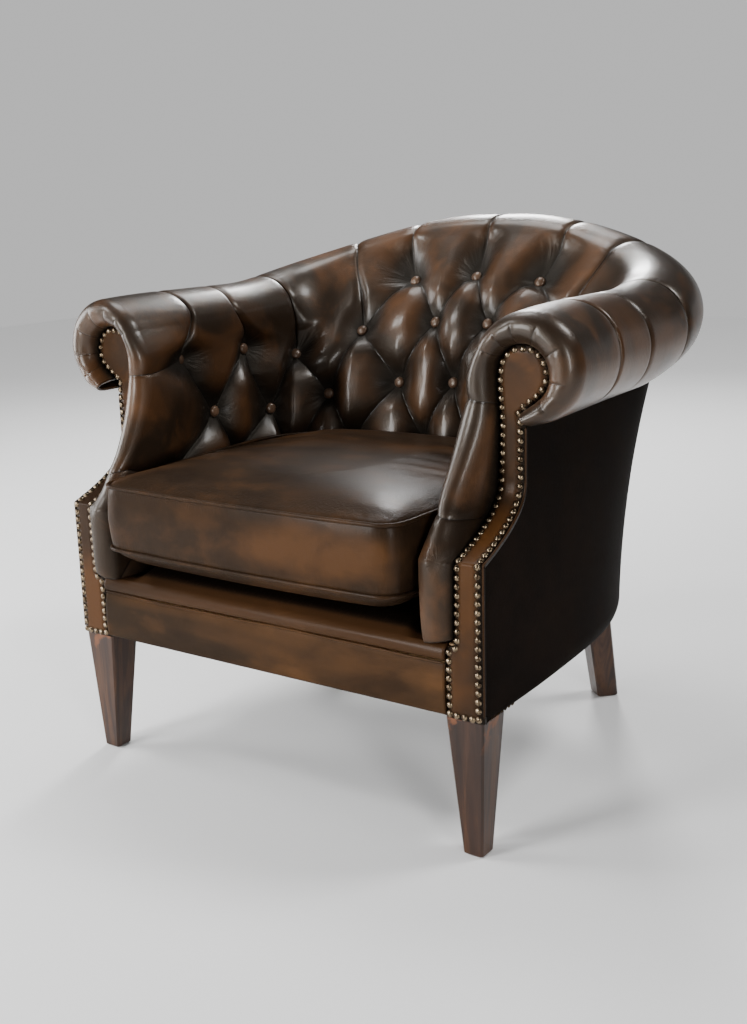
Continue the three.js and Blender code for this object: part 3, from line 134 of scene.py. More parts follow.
class Nodes:
    """The nodes of a shader and the one way that they are made."""

    def __init__(self, tree):
        self.tree = tree

    def put(self, socket, value):
        """Links a socket to what varies, or sets it to what doesn't."""
        value = value.socket if isinstance(value, Sum) else value
        if isinstance(value, bpy.types.NodeSocket):
            self.tree.links.new(value, socket)
        else:
            socket.default_value = value

    def node(self, kind, settings=None, **inputs):
        """A node with its settings; a socket goes by its name, or by _ and its number."""
        node = self.tree.nodes.new("ShaderNode" + kind)
        for key, value in (settings or {}).items():
            if key == "stops":
                ramp = node.color_ramp
                while len(ramp.elements) < len(value):
                    ramp.elements.new(0.5)
                for element, (place, colour) in zip(ramp.elements, value):
                    element.position = place
                    element.color = (*colour, 1)
            else:
                setattr(node, key, value)
        for key, value in inputs.items():
            wanted = int(key[1:]) if key.startswith("_") else key.replace("_", " ")
            self.put(node.inputs[wanted], value)
        return node

    def number(self, socket):
        return Sum(self, socket)

    def axis(self, vector, name):
        """One axis of a vector."""
        return self.number(self.node("SeparateXYZ", Vector=vector).outputs[name])

    def ramp(self, share, *stops):
        return self.node("ValToRGB", {"stops": stops}, Fac=share).outputs[0]

    def scaled(self, vector, scale):
        return self.node("Mapping", Vector=vector, Scale=scale).outputs[0]

    def channel(self, name, output="Fac"):
        """What a mesh's own channel of that name holds."""
        return self.node("Attribute", {"attribute_name": name}).outputs[output]

    def noise(self, vector, scale, detail=2.0, roughness=0.5, distortion=0.0):
        settings = {"Scale": scale, "Detail": detail, "Roughness": roughness, "Distortion": distortion}
        return self.number(self.node("TexNoise", Vector=vector, **settings).outputs["Fac"])

    def blend(self, share, a, b):
        """Colour a where share is 0, colour b where it is 1."""
        a, b = ((*colour, 1) if isinstance(colour, tuple) else colour for colour in (a, b))
        return self.node("Mix", {"data_type": "RGBA"}, _0=share, _6=a, _7=b).outputs[2]


class Finish(Nodes):
    """A material, with the same value all over for each named socket of its shader."""

    def __init__(self, name, **constants):
        self.material = bpy.data.materials.new(name)
        self.material.use_nodes = True
        super().__init__(self.material.node_tree)
        self.shader = self.tree.nodes["Principled BSDF"]
        self.feed(**constants)

    def place(self, scale=(1, 1, 1)):
        """Object coordinates, in metres, scaled."""
        return self.scaled(self.node("TexCoord").outputs["Object"], scale)

    def feed(self, **sockets):
        for name, value in sockets.items():
            self.put(self.shader.inputs[name.replace("_", " ")], value)

    def relief(self, *layers):
        """Bump layers, each (height, metres high, strength), that feed the shader's Normal."""
        normal = {}
        for height, distance, strength in layers:
            bump = self.node("Bump", Strength=strength, Distance=distance, Height=height, **normal)
            normal = {"Normal": bump.outputs[0]}
        self.feed(**normal)


def finish_piece(name, mesh_source, finish, body="chair"):
    """Makes a finished piece of a bmesh or a mesh, with smooth faces, riding on a body."""
    mesh = mesh_source
    if isinstance(mesh_source, bmesh.types.BMesh):
        mesh = bpy.data.meshes.new(name)
        mesh_source.to_mesh(mesh)
        mesh_source.free()
    mesh.name = name
    mesh.shade_smooth()
    mesh.materials.clear()
    mesh.materials.append(finish.material)
    piece = bpy.data.objects.new(name, mesh)
    bpy.context.scene.collection.objects.link(piece)
    if body:
        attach(piece, body)
    return piece


floor_paint = Finish("floor_paint", Base_Color=floor_grey, Roughness=0.75, Emission_Strength=1.0)
floor_x, floor_y = (floor_paint.axis(floor_paint.place(), name) for name in "XY")
behind = floor_y * behind_way[1] + floor_x * behind_way[0]
# The floor's paint glows, more towards the back: painted light that keeps the far floor pale.
floor_paint.feed(Emission_Color=floor_paint.blend(behind.fade(glow_near, glow_far), (0, 0, 0), glow))
floor_mesh = bmesh.new()
bmesh.ops.create_grid(floor_mesh, x_segments=1, y_segments=1, size=floor_half)
finish_piece("floor", floor_mesh, floor_paint, body=None)

world = bpy.data.worlds.new("surround")
world.use_nodes = True
surround = Nodes(world.node_tree)
outward = surround.node("TexCoord").outputs["Generated"]
facing_wall = surround.node("VectorMath", {"operation": "DOT_PRODUCT"}, _0=outward, _1=behind_way)
toward_wall = surround.number(facing_wall.outputs["Value"]).fade(0.3, 0.8)
low_wall = 1.0 - surround.axis(outward, "Z").fade(0.15, 0.18)
background = world.node_tree.nodes["Background"].inputs
surround.put(background["Color"], (1, 1, 1, 1))
surround.put(background["Strength"], toward_wall * low_wall * wall_light + room_light)
bpy.context.scene.world = world


def soft_box(name, place, aim, width, height, power):
    data = bpy.data.lights.new(name, "AREA")
    data.shape, data.size, data.size_y, data.energy = "RECTANGLE", width, height, power
    lamp = bpy.data.objects.new(name, data)
    lamp.location = place
    lamp.rotation_euler = (Vector(aim) - Vector(place)).to_track_quat("-Z", "Y").to_euler()
    bpy.context.scene.collection.objects.link(lamp)


soft_box("box_front", (-1.1, -2.9, 1.2), (0, 0, 0.5), width=0.9, height=1.5, power=110)
soft_box("box_left", (-2.8, -0.8, 0.95), (0, 0, 0.45), width=1.2, height=1.5, power=75)
soft_box("box_right", (2.6, -2.0, 1.1), (-0.3, 0, 0.5), width=0.45, height=1.4, power=44)
soft_box("box_high_left", (-1.7, -1.4, 2.5), (0, -0.3, 0.4), width=0.5, height=0.5, power=30)
soft_box("box_high_right", (1.5, 0.9, 2.8), (-0.3, 0, 0.5), width=0.7, height=0.7, power=46)
soft_box("box_back", (-1.2, 2.4, 2.1), (0, -0.1, 0.5), width=0.6, height=0.7, power=68)
soft_box("box_over", (-0.9, 0.7, 3.1), (0, 0, 0.2), width=1.0, height=1.0, power=36)

# Legs
# Four square tapered legs of dark stained walnut, hand polished. The grain runs down
# each leg, and the finish is worn through in patches near the top.
worn_from, worn_to = 0.135, 0.178


def srgb(r, g, b):
    """A colour as it is seen, 0 to 255, in the shader's own terms."""
    return tuple((v / 255 / 12.92) if v < 10.3 else ((v / 255 + 0.055) / 1.055) ** 2.4 for v in (r, g, b))


def cover_with(node, finish):
    """Gives a CAD node that stays its material."""
    materials = frame["nodes"][node].data.materials
    materials.clear()
    materials.append(finish.material)


walnut = Finish("walnut_polished", Coat_Weight=0.15, Coat_Roughness=0.2, Specular_IOR_Level=0.3)
growth = walnut.noise(walnut.place((1, 1, 0.055)), 60, detail=4, roughness=0.62, distortion=0.7)
pores = walnut.noise(walnut.place((1, 1, 0.03)), 420, detail=2, roughness=0.6)
figure = walnut.noise(walnut.place((1, 1, 0.25)), 14, detail=2)
worn = walnut.noise(walnut.place((1, 1, 0.6)), 30, detail=4, roughness=0.6, distortion=0.4)
bare = (walnut.axis(walnut.place(), "Z").fade(worn_from, worn_to) * worn.fade(0.53, 0.62)).held()
dark_wood, light_wood = (0.25, srgb(26, 15, 9)), (0.62, srgb(72, 45, 26))
wood_colour = walnut.ramp(growth, dark_wood, (0.48, srgb(50, 30, 18)), light_wood, (0.8, srgb(38, 22, 13)))
wood_colour = walnut.blend(figure.fade(0.35, 0.7) * 0.45, wood_colour, srgb(24, 12, 8))
wood_colour = walnut.blend(bare * 0.6, wood_colour, srgb(122, 72, 38))
walnut.feed(Base_Color=wood_colour, Roughness=0.28 + 0.16 * pores + 0.12 * bare)
walnut.relief((pores, 0.0004, 0.35), (growth, 0.0006, 0.25))
for leg_node in ("right_front_leg", "right_rear_leg", "left_front_leg", "left_rear_leg"):
    cover_with(leg_node, walnut)

# Inner frame, webbing and dust cover
# A beech frame, jute webs and a black woven sheet under the seat. All of it is hidden
# from the front, and only the sheet shows from below.
beech = Finish("beech_planed", Roughness=0.62)
beech_grain = beech.noise(beech.place((1, 1, 0.12)), 70, detail=4, roughness=0.6)
beech.feed(Base_Color=beech.ramp(beech_grain, (0.3, srgb(170, 130, 88)), (0.7, srgb(205, 168, 124))))
beech.relief((beech_grain, 0.0004, 0.2))


def woven(name, fineness, gaps, threads, height, strength):
    """A plain weave: two sets of threads that cross, darker in the gaps."""
    fabric = Finish(name, Roughness=0.95)
    sets = []
    for way in "XY":
        bands = {"wave_type": "BANDS", "bands_direction": way}
        waves = fabric.node("TexWave", bands, Vector=fabric.place(), Scale=fineness)
        sets.append(fabric.number(waves.outputs["Fac"]))
    weave = sets[0] * sets[1]
    fabric.feed(Base_Color=fabric.blend(weave, gaps, threads))
    fabric.relief((weave, height, strength))
    return fabric


jute = woven("jute_woven", 130.0, srgb(96, 72, 44), srgb(168, 138, 92), height=0.0006, strength=0.6)
canvas = woven("canvas_black", 300.0, srgb(20, 18, 17), srgb(44, 41, 39), height=0.0003, strength=0.5)
hidden_finish = {"beech": beech, "jute": jute, "canvas": canvas}
for subpart in frame["record"]["subparts"]:
    if subpart["material_slot"] in hidden_finish:
        cover_with(subpart["node"], hidden_finish[subpart["material_slot"]])

# Outer covers
# Plain leather over a backing board, one cover for each arm and one for the back. Each
# rises from the tucked lower edge to the neck under the roll, with a sewn seam between.
facing_thick = 7.3
front_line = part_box("front_seat_rail")[0].y * 1000 - facing_thick
leg_height = 183.0
sweep_start, sweep_depth, sweep_fade = 381, 105, 250
facing_rise, facing_power = 81, 2.2
roll_half, roll_bend_start, roll_bend_depth, tub_power = 340, 446, 220, 2.44
roll_low, roll_lift, lift_start, lift_fade = 600.6, 97, 0.60, 0.57
back_radius, front_radius, neck_gap = 66, 70, 1
tuck, tuck_height, tuck_end, tuck_fade = 8, 26, 0.87, 0.3
hem, hem_height, foot_gap, neck_lap = 3.2, 5, 0.3, 4
cover_thick = 0.0045
cover_seam, seam_gap = 6 / 22, 0.0004
inside_point = Vector((0, 0, 0.42))
warm_gloss = (1, 0.88, 0.74, 1)


def to_chair(x, y, z):
    """Points in millimetres, y from the facings' front plane, in the chair's frame."""
    return np.stack(np.broadcast_arrays(x, y + front_line, z), -1) / 1000


def smooth(t):
    u = np.clip(t, 0, 1)
    return u * u * (3 - 2 * u)


def lerp(a, b, t):
    return a + (b - a) * t


class Tub:
    """Half of a tub's plan by its own length, from the middle of the back to the front."""

    points, bend, near = 4001, 0.6, 0.002

    def __init__(self, half, bend_start, bend_depth, power, splay=0.0):
        t = np.linspace(0, 1, self.points)
        angle = np.clip(1 - t / self.bend, 0, 1) * np.pi / 2
        ahead = np.clip((t - self.bend) / (1 - self.bend), 0, 1)
        bent = t < self.bend
        round_x = half * np.clip(np.cos(angle), 0, 1) ** (2 / power)
        round_y = bend_start + bend_depth * np.sin(angle) ** (2 / power)
        self.x = np.where(bent, round_x, half + splay * ahead)
        self.y = np.where(bent, round_y, bend_start * (1 - ahead))
        steps = np.hypot(np.diff(self.x), np.diff(self.y))
        self.s = np.concatenate([[0], np.cumsum(steps)]) / steps.sum()

    def at(self, share):
        return np.interp(share, self.s, self.x), np.interp(share, self.s, self.y)

    def out(self, share):
        """Which way is out at a share of the plan's length."""
        ax, ay = self.at(np.clip(share + self.near, 0, 1))
        bx, by = self.at(np.clip(share - self.near, 0, 1))
        dx, dy = ax - bx, np.where(share < self.near, 0, ay - by)
        size = np.hypot(dx, dy)
        return -dy / size, dx / size


base_plan = Tub(half=340, bend_start=190, bend_depth=422, power=3)
roll_plan = Tub(roll_half, roll_bend_start, roll_bend_depth, tub_power, splay=11)
neck_plan = Tub(334, roll_bend_start, roll_bend_depth, power=3, splay=7)


def backness(share):
    return smooth((lift_start - share) / lift_fade)


def roll_height(share):
    return roll_low + roll_lift * backness(share)


def roll_radius(share):
    return lerp(back_radius, front_radius, share)


def neck_height(share):
    return roll_height(share) - roll_radius(share) - neck_gap


def swept_back(z, rise=facing_rise, power=facing_power):
    """How far the arm's front lies behind its front plane at a height."""
    climb = np.clip((z - sweep_start) / rise, 0, 1)
    return sweep_depth * (1 - (1 - climb) ** power)


def sweep(x, y, z, rise=facing_rise, power=facing_power):
    return x, y + swept_back(z, rise, power) * np.clip(1 - y / sweep_fade, 0, 1), z


def cover_point(share, z, depth):
    """On a cover at a share of the plan's length and a height, that far under its face."""
    flare = np.maximum((z - leg_height) / (neck_height(share) - leg_height), 0) ** 2
    low, high = base_plan.at(share), neck_plan.at(share)
    low_out, high_out = base_plan.out(share), neck_plan.out(share)
    ox, oy = lerp(low_out[0], high_out[0], flare), lerp(low_out[1], high_out[1], flare)
    size = np.hypot(ox, oy)
    under = np.clip(1 - (z - leg_height) / tuck_height, 0, 1)
    inward = depth + tuck * under**2 * smooth((tuck_end - share) / tuck_fade)
    x = lerp(low[0], high[0], flare) - inward * ox / size
    y = lerp(low[1], high[1], flare) - inward * oy / size
    return sweep(x, y, z)


def sheet_of(columns, rows, place):
    """A grid of that many faces. For the shares (u, v) of each way, place gives points and,
    by name, the channels that the material reads."""
    grid = bmesh.new()
    bmesh.ops.create_grid(grid, x_segments=columns, y_segments=rows, size=1)
    mesh = bpy.data.meshes.new("sheet")
    grid.to_mesh(mesh)
    grid.free()
    co = np.zeros(len(mesh.vertices) * 3, np.float32)
    mesh.vertices.foreach_get("co", co)
    u, v = (co.reshape(-1, 3)[:, :2].T.astype(float) + 1) / 2
    points, channels = place(np.round(u * columns) / columns, np.round(v * rows) / rows)
    mesh.vertices.foreach_set("co", points.astype(np.float32).ravel())
    mesh.update()
    for name, values in channels.items():
        kind, field = ("FLOAT", "value") if values.ndim == 1 else ("FLOAT_VECTOR", "vector")
        channel = mesh.attributes.new(name, kind, "POINT")
        channel.data.foreach_set(field, values.astype(np.float32).ravel())
    return mesh


def face_out(mesh, inside):
    """Turns the faces of a sheet so that they point away from a point inside it."""
    total = 0.0
    for face in mesh.polygons:
        total += face.normal.dot(face.center - inside) * face.area
    if total < 0:
        mesh.flip_normals()
    return mesh


def leather_piece(name, mesh, thick, finish, node):
    """A sheet of leather in place of a CAD solid, with its thickness in metres laid inwards."""
    piece = finish_piece(name, mesh, finish)
    thickness = piece.modifiers.new("thickness", "SOLIDIFY")
    thickness.thickness, thickness.offset = thick, -1
    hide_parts(node)
    return piece


def leather_pair(name, mesh, thick, finish, node):
    """The left piece, a mirror image whose faces still point out, and the right one."""
    mirrored = mesh.copy()
    mirrored.transform(Matrix.Scale(-1, 4, (1, 0, 0)))
    mirrored.flip_normals()
    pair = []
    for side, made in (("left", mirrored), ("right", mesh)):
        pair.append(leather_piece(f"{name}_{side}", made, thick, finish, f"{side}_{node}"))
    return pair


def leather_finish(
    name, dark, mid, rubbed, rub_amount, roughness, coat, level, folds=False, stretch=1.0, seams=()
):
    """Waxed, hand rubbed leather, lighter where it has been rubbed. Without folds it is darker in random
    patches; with folds it reads the depth and crown channels and is darker where depth is high, which on the
    deck is a painted shadow under the cushion.
    Seams are the heights of piped seams."""
    leather = Finish(name, Coat_Weight=coat, Coat_Roughness=0.28)
    leather.feed(Specular_IOR_Level=level, Specular_Tint=warm_gloss)
    here = leather.place()
    rubbing = leather.place((1 / stretch, 1, 1))
    cloud = leather.noise(rubbing, 5.5, detail=3, roughness=0.55, distortion=0.5)
    patch = leather.noise(rubbing, 16, detail=4, roughness=0.6, distortion=0.3)
    rub = (cloud.fade(0.44, 0.66) * 0.6 + patch.fade(0.48, 0.72) * 0.5) * rub_amount
    wrinkle = leather.noise(here, 130, detail=4, roughness=0.62, distortion=1.2)
    grain = leather.number(leather.node("TexVoronoi", Vector=here, Scale=900).outputs["Distance"])
    fine = leather.noise(here, 1500, detail=2, roughness=0.6)
    layers = [(grain, 0.00028, 0.4), (fine, 0.0002, 0.3), (wrinkle, 0.0009, 0.3)]
    if seams:
        height = leather.axis(here, "Z")
        middle = (height - sum(seams) / 2) / 0.034
        rub = rub + (1.0 - middle * middle).held() * cloud.fade(0.36, 0.56) * 0.5
        pucker = leather.noise(leather.place((1, 1, 0.1)), 230, detail=3, distortion=0.3)
        low, high = (1.0 - ((height - seam) * (height - seam) / 0.0003).held() for seam in seams)
        layers.append(((pucker - 0.5) * low.most(high), 0.0024, 0.45))
    if folds:
        depth, crown = (leather.number(leather.channel(channel)) for channel in ("depth", "crown"))
        rub = rub * (1.0 - depth.fade(0.1, 0.5)) * (0.35 + 0.65 * crown)
        gather = leather.noise(here, 75, detail=5, roughness=0.6, distortion=2.0)
        layers.append((gather * depth.fade(0.05, 0.6), 0.003, 0.4))
        # With folds the colour darkens where the depth channel is high: a painted shadow under the deck's
        # cushion, and a darker band along the facings' edges.
        dark_patches_and_painted_shade = depth.fade(0.25, 0.9) * 0.85
    else:
        dark_patches_and_painted_shade = (1.0 - patch.fade(0.3, 0.5)) * 0.5
    colour = leather.blend(dark_patches_and_painted_shade, leather.blend(rub.held(), mid, rubbed), dark)
    leather.relief(*layers)
    leather.feed(Base_Color=colour, Roughness=roughness - 0.05 + 0.12 * patch + 0.06 * fine)
    return leather


def cover_sheet(start, end, columns, rows):
    def place(u, v):
        share = lerp(start, end, u)
        height = lerp(leg_height + foot_gap, neck_height(share) + neck_lap, v)
        turned = hem * np.clip(1 - (height - leg_height) / hem_height, 0, 1) ** 2
        x, y, z = cover_point(share, height, turned)
        return to_chair(x, np.maximum(y, facing_thick + swept_back(z)), z), {}

    return sheet_of(columns, rows, place)


plain_leather = leather_finish(
    "leather_plain", srgb(9, 6, 4), srgb(16, 11, 8), srgb(27, 19, 13), 0.6,
    roughness=0.55, coat=0.0, level=0.012,
)
side_cover = face_out(cover_sheet(cover_seam + seam_gap, 1, 150, 110), inside_point)
leather_pair("outer_arm_cover", side_cover, cover_thick, plain_leather, "outer_arm_cover")
back_skin = cover_sheet(0, cover_seam - seam_gap, 60, 110)
back_cover = bmesh.new()
back_cover.from_mesh(back_skin)
half_back = back_cover.verts[:] + back_cover.edges[:] + back_cover.faces[:]
bmesh.ops.mirror(back_cover, geom=half_back, axis="X", merge_dist=1e-5)
bmesh.ops.remove_doubles(back_cover, verts=back_cover.verts[:], dist=1e-5)
bmesh.ops.recalc_face_normals(back_cover, faces=back_cover.faces[:])
back_cover.to_mesh(back_skin)
back_cover.free()
face_out(back_skin, inside_point)
leather_piece("outer_back_cover_skin", back_skin, cover_thick, plain_leather, "outer_back_cover")

# Inside back and arms
# One leather skin in three parts, drawn in by a diamond lattice of buttons, pleated over
# the crest and closed under the roll. At the front of each arm it ends in a padded rim.
inside_half, inside_depth, inside_bend, inside_lean = 266, 425, 154, 70
arm_pad, back_pad = 34, 55
pad_rise, pad_power = 179, 1.4
pad_bottom, pad_thick = 276, 0.004
roll_back = roll_bend_start + roll_bend_depth
pitch, row_space = 118.0, 92.0
fold_depth, button_depth, pleat_depth = 14.0, 25.0, 3.8
pillow, dimple_reach, button_flat, arm_dimple = 46.0, 55.0, 7, 1.15
fuller_arm, fuller_from, fuller_fade, sag = 1.55, 1.9, 1.2, 0.22
front_fold, front_from, front_fade = 0.35, 4.55, 0.4
pleat_rise, pleat_end, pleat_fade, pleat_narrow = 1.6, 6.0, 3, (1.25, 4.6)
crease_reach, crease_fade, pull_reach, pull_fade, hole, hole_fade = 13, 6, 52, 34, 9, 6
height_share, lean_share, rake_share = np.array(
    [[0, 0, 0], [0.337, 0.03, 0.205], [0.556, 0.06, 0.326], [0.772, 0.09, 0.474], [0.931, 0.15, 0.737]]
).T
half_steps = np.arange(11) / 2
wall_shares = [0, 0.068, 0.144, 0.257, 0.315, 0.397, 0.438, 0.541, 0.618, 0.793, 1]
roll_shares = [0, 0.08, 0.165, 0.29, 0.4, 0.5, 0.575, 0.65, 0.715, 0.785, 1]
deck_row = 5
row_numbers = range(1, deck_row + 1)
row_dip, dip_column, dip_reach, first_knot_share = 0.05, 2.7, 0.9, 1.19
back_row_shares = [0.985, 0.79, 0.558, 0.337, 0]
arm_row_shares = [1.12, 0.905, 0.622, 0.37, 0]
roll_angles = [30, 60, 90, 120, 150, 180, 210, 240, 264]
core_angles = [20, 60, 100, 140, 180, 214]
tail_angle, tail_radius_share, tail_inset = 270, 0.82, 12.6
core_drop, core_radius, core_inset, core_rows = 10.6, (28, 36.5), (9, 10.6), 4
wall_rows = len(height_share)
spans = wall_rows + len(roll_angles) - 1
core_spans = core_rows + len(core_angles)
knot_rows = front_radius * math.pi / 6 / row_space
back_end, arm_end = 2.5, 5
rim_column, rim_full, shoulder_flat = 4.3, 15, 3.5
wall_part = 0.56


def sweep_pad(points):
    """The pads are swept back more slowly than the facings, up to the core of the roll."""
    return np.stack(sweep(points[..., 0], points[..., 1], points[..., 2], pad_rise, pad_power), -1)


def wall_plans(behind, beside):
    """The tub's plans at the wall's heights, that far under the leather's face."""
    made = []
    bend = inside_bend + (behind - beside) / 2
    for lean, rake in zip(lean_share, rake_share):
        depth = lerp(inside_depth, roll_back - back_radius, rake) + behind
        made.append(Tub(inside_half + lean * inside_lean + beside, depth - bend, bend, tub_power))
    return made


def wall_knot(plans, column, n):
    x, y = plans[n].at(np.interp(column, half_steps, wall_shares))
    top = roll_height(np.interp(column, half_steps, roll_shares))
    return np.stack([x, y, lerp(pad_bottom, top, height_share[n])], -1)


def roll_knot(column, degrees, radius, inset=0.0, drop=0.0):
    share = np.interp(column, half_steps, roll_shares)
    x, y = roll_plan.at(share)
    ox, oy = roll_plan.out(share)
    a = np.radians(degrees)
    away = inset + radius * np.cos(a)
    return np.stack([x - ox * away, y - oy * away, roll_height(share) - drop + radius * np.sin(a)], -1)


outer_walls, inner_walls = wall_plans(0, 0), wall_plans(back_pad, arm_pad)


def knot_gap(a, b):
    return np.maximum(((a - b) ** 2).sum(-1, keepdims=True) ** 0.25, 1e-4)


def along_knots(knots, along):
    """A centripetal curve through the knots of each column, one unit for each knot."""
    low = np.clip(np.floor(along).astype(int), 0, knots.shape[-2] - 2)
    t = (along - low)[..., None]

    def knot(n):
        inner = np.clip(n, 0, knots.shape[-2] - 1)
        return np.take_along_axis(knots, inner[..., None, None], -2)[..., 0, :]

    p1, p2 = knot(low), knot(low + 1)
    p0 = np.where((low == 0)[..., None], 2 * p1 - p2, knot(low - 1))
    p3 = np.where((low + 2 >= knots.shape[-2])[..., None], 2 * p2 - p1, knot(low + 2))
    d0, d1, d2 = knot_gap(p0, p1), knot_gap(p1, p2), knot_gap(p2, p3)
    m1 = ((p1 - p0) / d0 - (p2 - p0) / (d0 + d1) + (p2 - p1) / d1) * d1
    m2 = ((p2 - p1) / d1 - (p3 - p1) / (d1 + d2) + (p3 - p2) / d2) * d1
    return p1 + m1 * t + (-3 * p1 + 3 * p2 - 2 * m1 - m2) * t**2 + (2 * p1 - 2 * p2 + m1 + m2) * t**3


def section_at(column, along):
    """The leather's place before it is drawn in, by button column and way up the section."""
    radius = roll_radius(np.interp(column, half_steps, roll_shares))
    rows = [wall_knot(outer_walls, column, n) for n in range(wall_rows)]
    rows += [roll_knot(column, angle, radius) for angle in roll_angles]
    return along_knots(np.stack(rows, -2), np.minimum(along, spans))


def facing_way(column, along, up_step=0.05, side_step=0.04):
    a, b = (section_at(column, np.clip(along + step, 0, spans)) for step in (-up_step, up_step))
    c, d = (section_at(np.clip(column + step, 0, arm_end), along) for step in (-side_step, side_step))
    n = np.cross(d - c, b - a)
    return n / np.linalg.norm(n, axis=-1, keepdims=True)


def row_along(row, column):
    """Along the section, where a row of buttons lies: row 1 is the top one, 5 the deck."""
    armness = 1 - backness(np.interp(column, half_steps, roll_shares))
    rows = [np.interp(row, row_numbers, shares) for shares in (back_row_shares, arm_row_shares)]
    lower = row_dip * smooth(1 - np.abs(column - dip_column) / dip_reach)
    height = lerp(*rows, armness) - np.where(row < deck_row, lower, 0)
    return np.interp(height, [*height_share, first_knot_share], range(wall_rows + 1))


# Places on the pads go by column and row: buttons stand on whole columns in rows 1 and 3
# and on half columns in rows 2 and 4, and the folds run between them.
top_pleats = [0, 1, 1.5, 2.5, 3.5, 4.5]
button_columns = {1: [0, 1], 2: [0.5, 1.5, 2.5, 3.5, 4.5], 3: [0, 1, 2, 3, 4], 4: [0.5, 1.5, 2.5, 3.5, 4.5]}
row_ends = {}
for row, found in button_columns.items():
    row_ends[row] = sorted({side * c for c in found for side in (1, -1)})
buttons, low_dimples, folds = [], [], []
for row in (1, 2, 3):
    for c in button_columns[row]:
        buttons += [(-c, row), (c, row)] if c else [(0, row)]
    for upper in row_ends[row]:
        folds += [(upper, row, lower, row + 1) for lower in row_ends[row + 1] if abs(upper - lower) == 0.5]
for c in button_columns[4]:
    low_dimples += [(-c, 4), (c, 4)]
dimples = buttons + low_dimples
folds += [(c, 4, c + half, deck_row) for c in row_ends[4] for half in (-0.5, 0.5)]
folds += [(side * 4.5, row, side * 5, end) for side in (1, -1) for row, end in ((2, 2.12), (4, 3.6))]


def crease(distance):
    """How a pillow falls into a fold: round over its top, steep at the fold itself."""
    x = np.clip(distance / pillow, 0, 1)
    return 0.55 * (1 - x) ** 2.4 + 0.45 * (1 - np.sqrt(1 - (1 - x) ** 2))


def line_distance(x, y, line):
    """Distance from a fold in millimetres, the share along it and which side of it."""
    x0, y0, x1, y1 = line
    dx, dy = (x1 - x0) * pitch, (y1 - y0) * row_space
    px, py = (x - x0) * pitch, (y - y0) * row_space
    t = np.clip((px * dx + py * dy) / (dx * dx + dy * dy), 0, 1)
    side = np.sign(px * dy - py * dx) * (1 if dx > 0 else -1)
    return np.hypot(px - t * dx, py - t * dy), t, np.where(side == 0, 1, side)


class Folds:
    """The drawn in leather at places given by column and row: its depth, its nearest fold
    with a strength from 0 to 1, and the pull of the nearest button."""

    def __init__(self, column, row, over):
        self.row = row
        self.fold = np.full_like(column, 40.0)
        self.line = np.zeros_like(column)
        total = np.zeros_like(column)
        fuller = lerp(1, fuller_arm, smooth((np.abs(column) - fuller_from) / fuller_fade))
        softer = lerp(1, front_fold, smooth((np.abs(column) - front_from) / front_fade))
        for line in folds:
            distance, t, side = line_distance(column, row, line)
            shallow = 1 - sag * (2 * t - 1) ** 2
            front = 1 if abs(line[2]) < arm_end else softer
            total += (fold_depth * fuller * shallow * front * crease(distance)) ** 4
            self.meet(distance, side, np.ones_like(column))
        rise = smooth(over / pleat_rise)
        fade = 1 - smooth((over - pleat_end) / pleat_fade)
        for pleat in top_pleats:
            top = 2 if pleat > 1 else 1
            across = (np.abs(column) - pleat) * pitch
            offset = np.hypot(across, np.maximum(row - top, 0) * row_space)
            strength = lerp(fold_depth * fuller, pleat_depth, rise) * fade
            total += (strength * crease(offset * lerp(*pleat_narrow, rise))) ** 4
            self.meet(offset, np.where(across < 0, 1, -1), fade * (row < top + 0.02))
        self.depth = total**0.25
        self.sink_buttons(column)

    def meet(self, distance, side, strength):
        """Takes a fold as the nearest one where it is."""
        near = (distance < np.abs(self.fold)) & (strength > 0.05)
        self.fold = np.where(near, distance * side, self.fold)
        self.line = np.where(near, strength * smooth((crease_reach - distance) / crease_fade), self.line)

    def sink_buttons(self, column):
        """Draws the leather down to each button and keeps the way to the nearest one."""
        nearest = np.full_like(column, 1e3)
        self.pull = np.zeros((*column.shape, 3))
        for c, r in dimples:
            dx, dy = (column - c) * pitch, (self.row - r) * row_space
            away = np.hypot(dx, dy)
            reach = dimple_reach * (arm_dimple if abs(c) > 2 else 1)
            dimple = (1 - np.clip((away - button_flat) / (reach - button_flat), 0, 1)) ** 2.1
            self.depth = lerp(self.depth, button_depth, dimple)
            near = away < nearest
            nearest = np.where(near, away, nearest)
            spoke = np.stack([dx, dy, dx * 0], -1) / np.maximum(away, 1)[..., None]
            self.pull[near] = spoke[near]
        self.pull[..., 2] = smooth((pull_reach - nearest) / pull_fade) * smooth((nearest - hole) / hole_fade)

    def channels(self, plan_x):
        """What the leather's material reads, for places that far along the pad in metres."""
        plan = np.stack([plan_x / 10, self.row * row_space / 1000, plan_x * 0], -1)
        return {
            "depth": np.clip(self.depth / button_depth, 0, 1),
            "crown": np.clip(1 - self.depth / fold_depth, 0, 1),
            "fold": self.fold,
            "line": self.line,
            "plan": plan,
            "pull": self.pull,
        }


def pad_rows(column, v):
    """Place along the section, row and reach past row 1, for v from the deck to the tail."""
    low = v < wall_part
    row = np.where(low, deck_row - (deck_row - 1) * v / wall_part, 1)
    past = np.clip((v - wall_part) / (1 - wall_part), 0, 1)
    start = row_along(np.ones_like(column), column)
    along = np.where(low, row_along(row, column), lerp(start, spans, past))
    over = np.where(low, 0, along - start)
    return along, np.where(low, row, 1 - over * knot_rows), over


def rim_fullness(column, row):
    """How much fuller the pad is near the rim, and flatter at the rim's shoulder."""
    past = column - rim_column
    shoulder = shoulder_flat * np.clip(past / (arm_end - rim_column), 0, 1) ** 3 * smooth((row + 1.5) / 1.5)
    return rim_full * smooth(past / 0.5) * smooth((row - 0.4) / 1.6) - shoulder


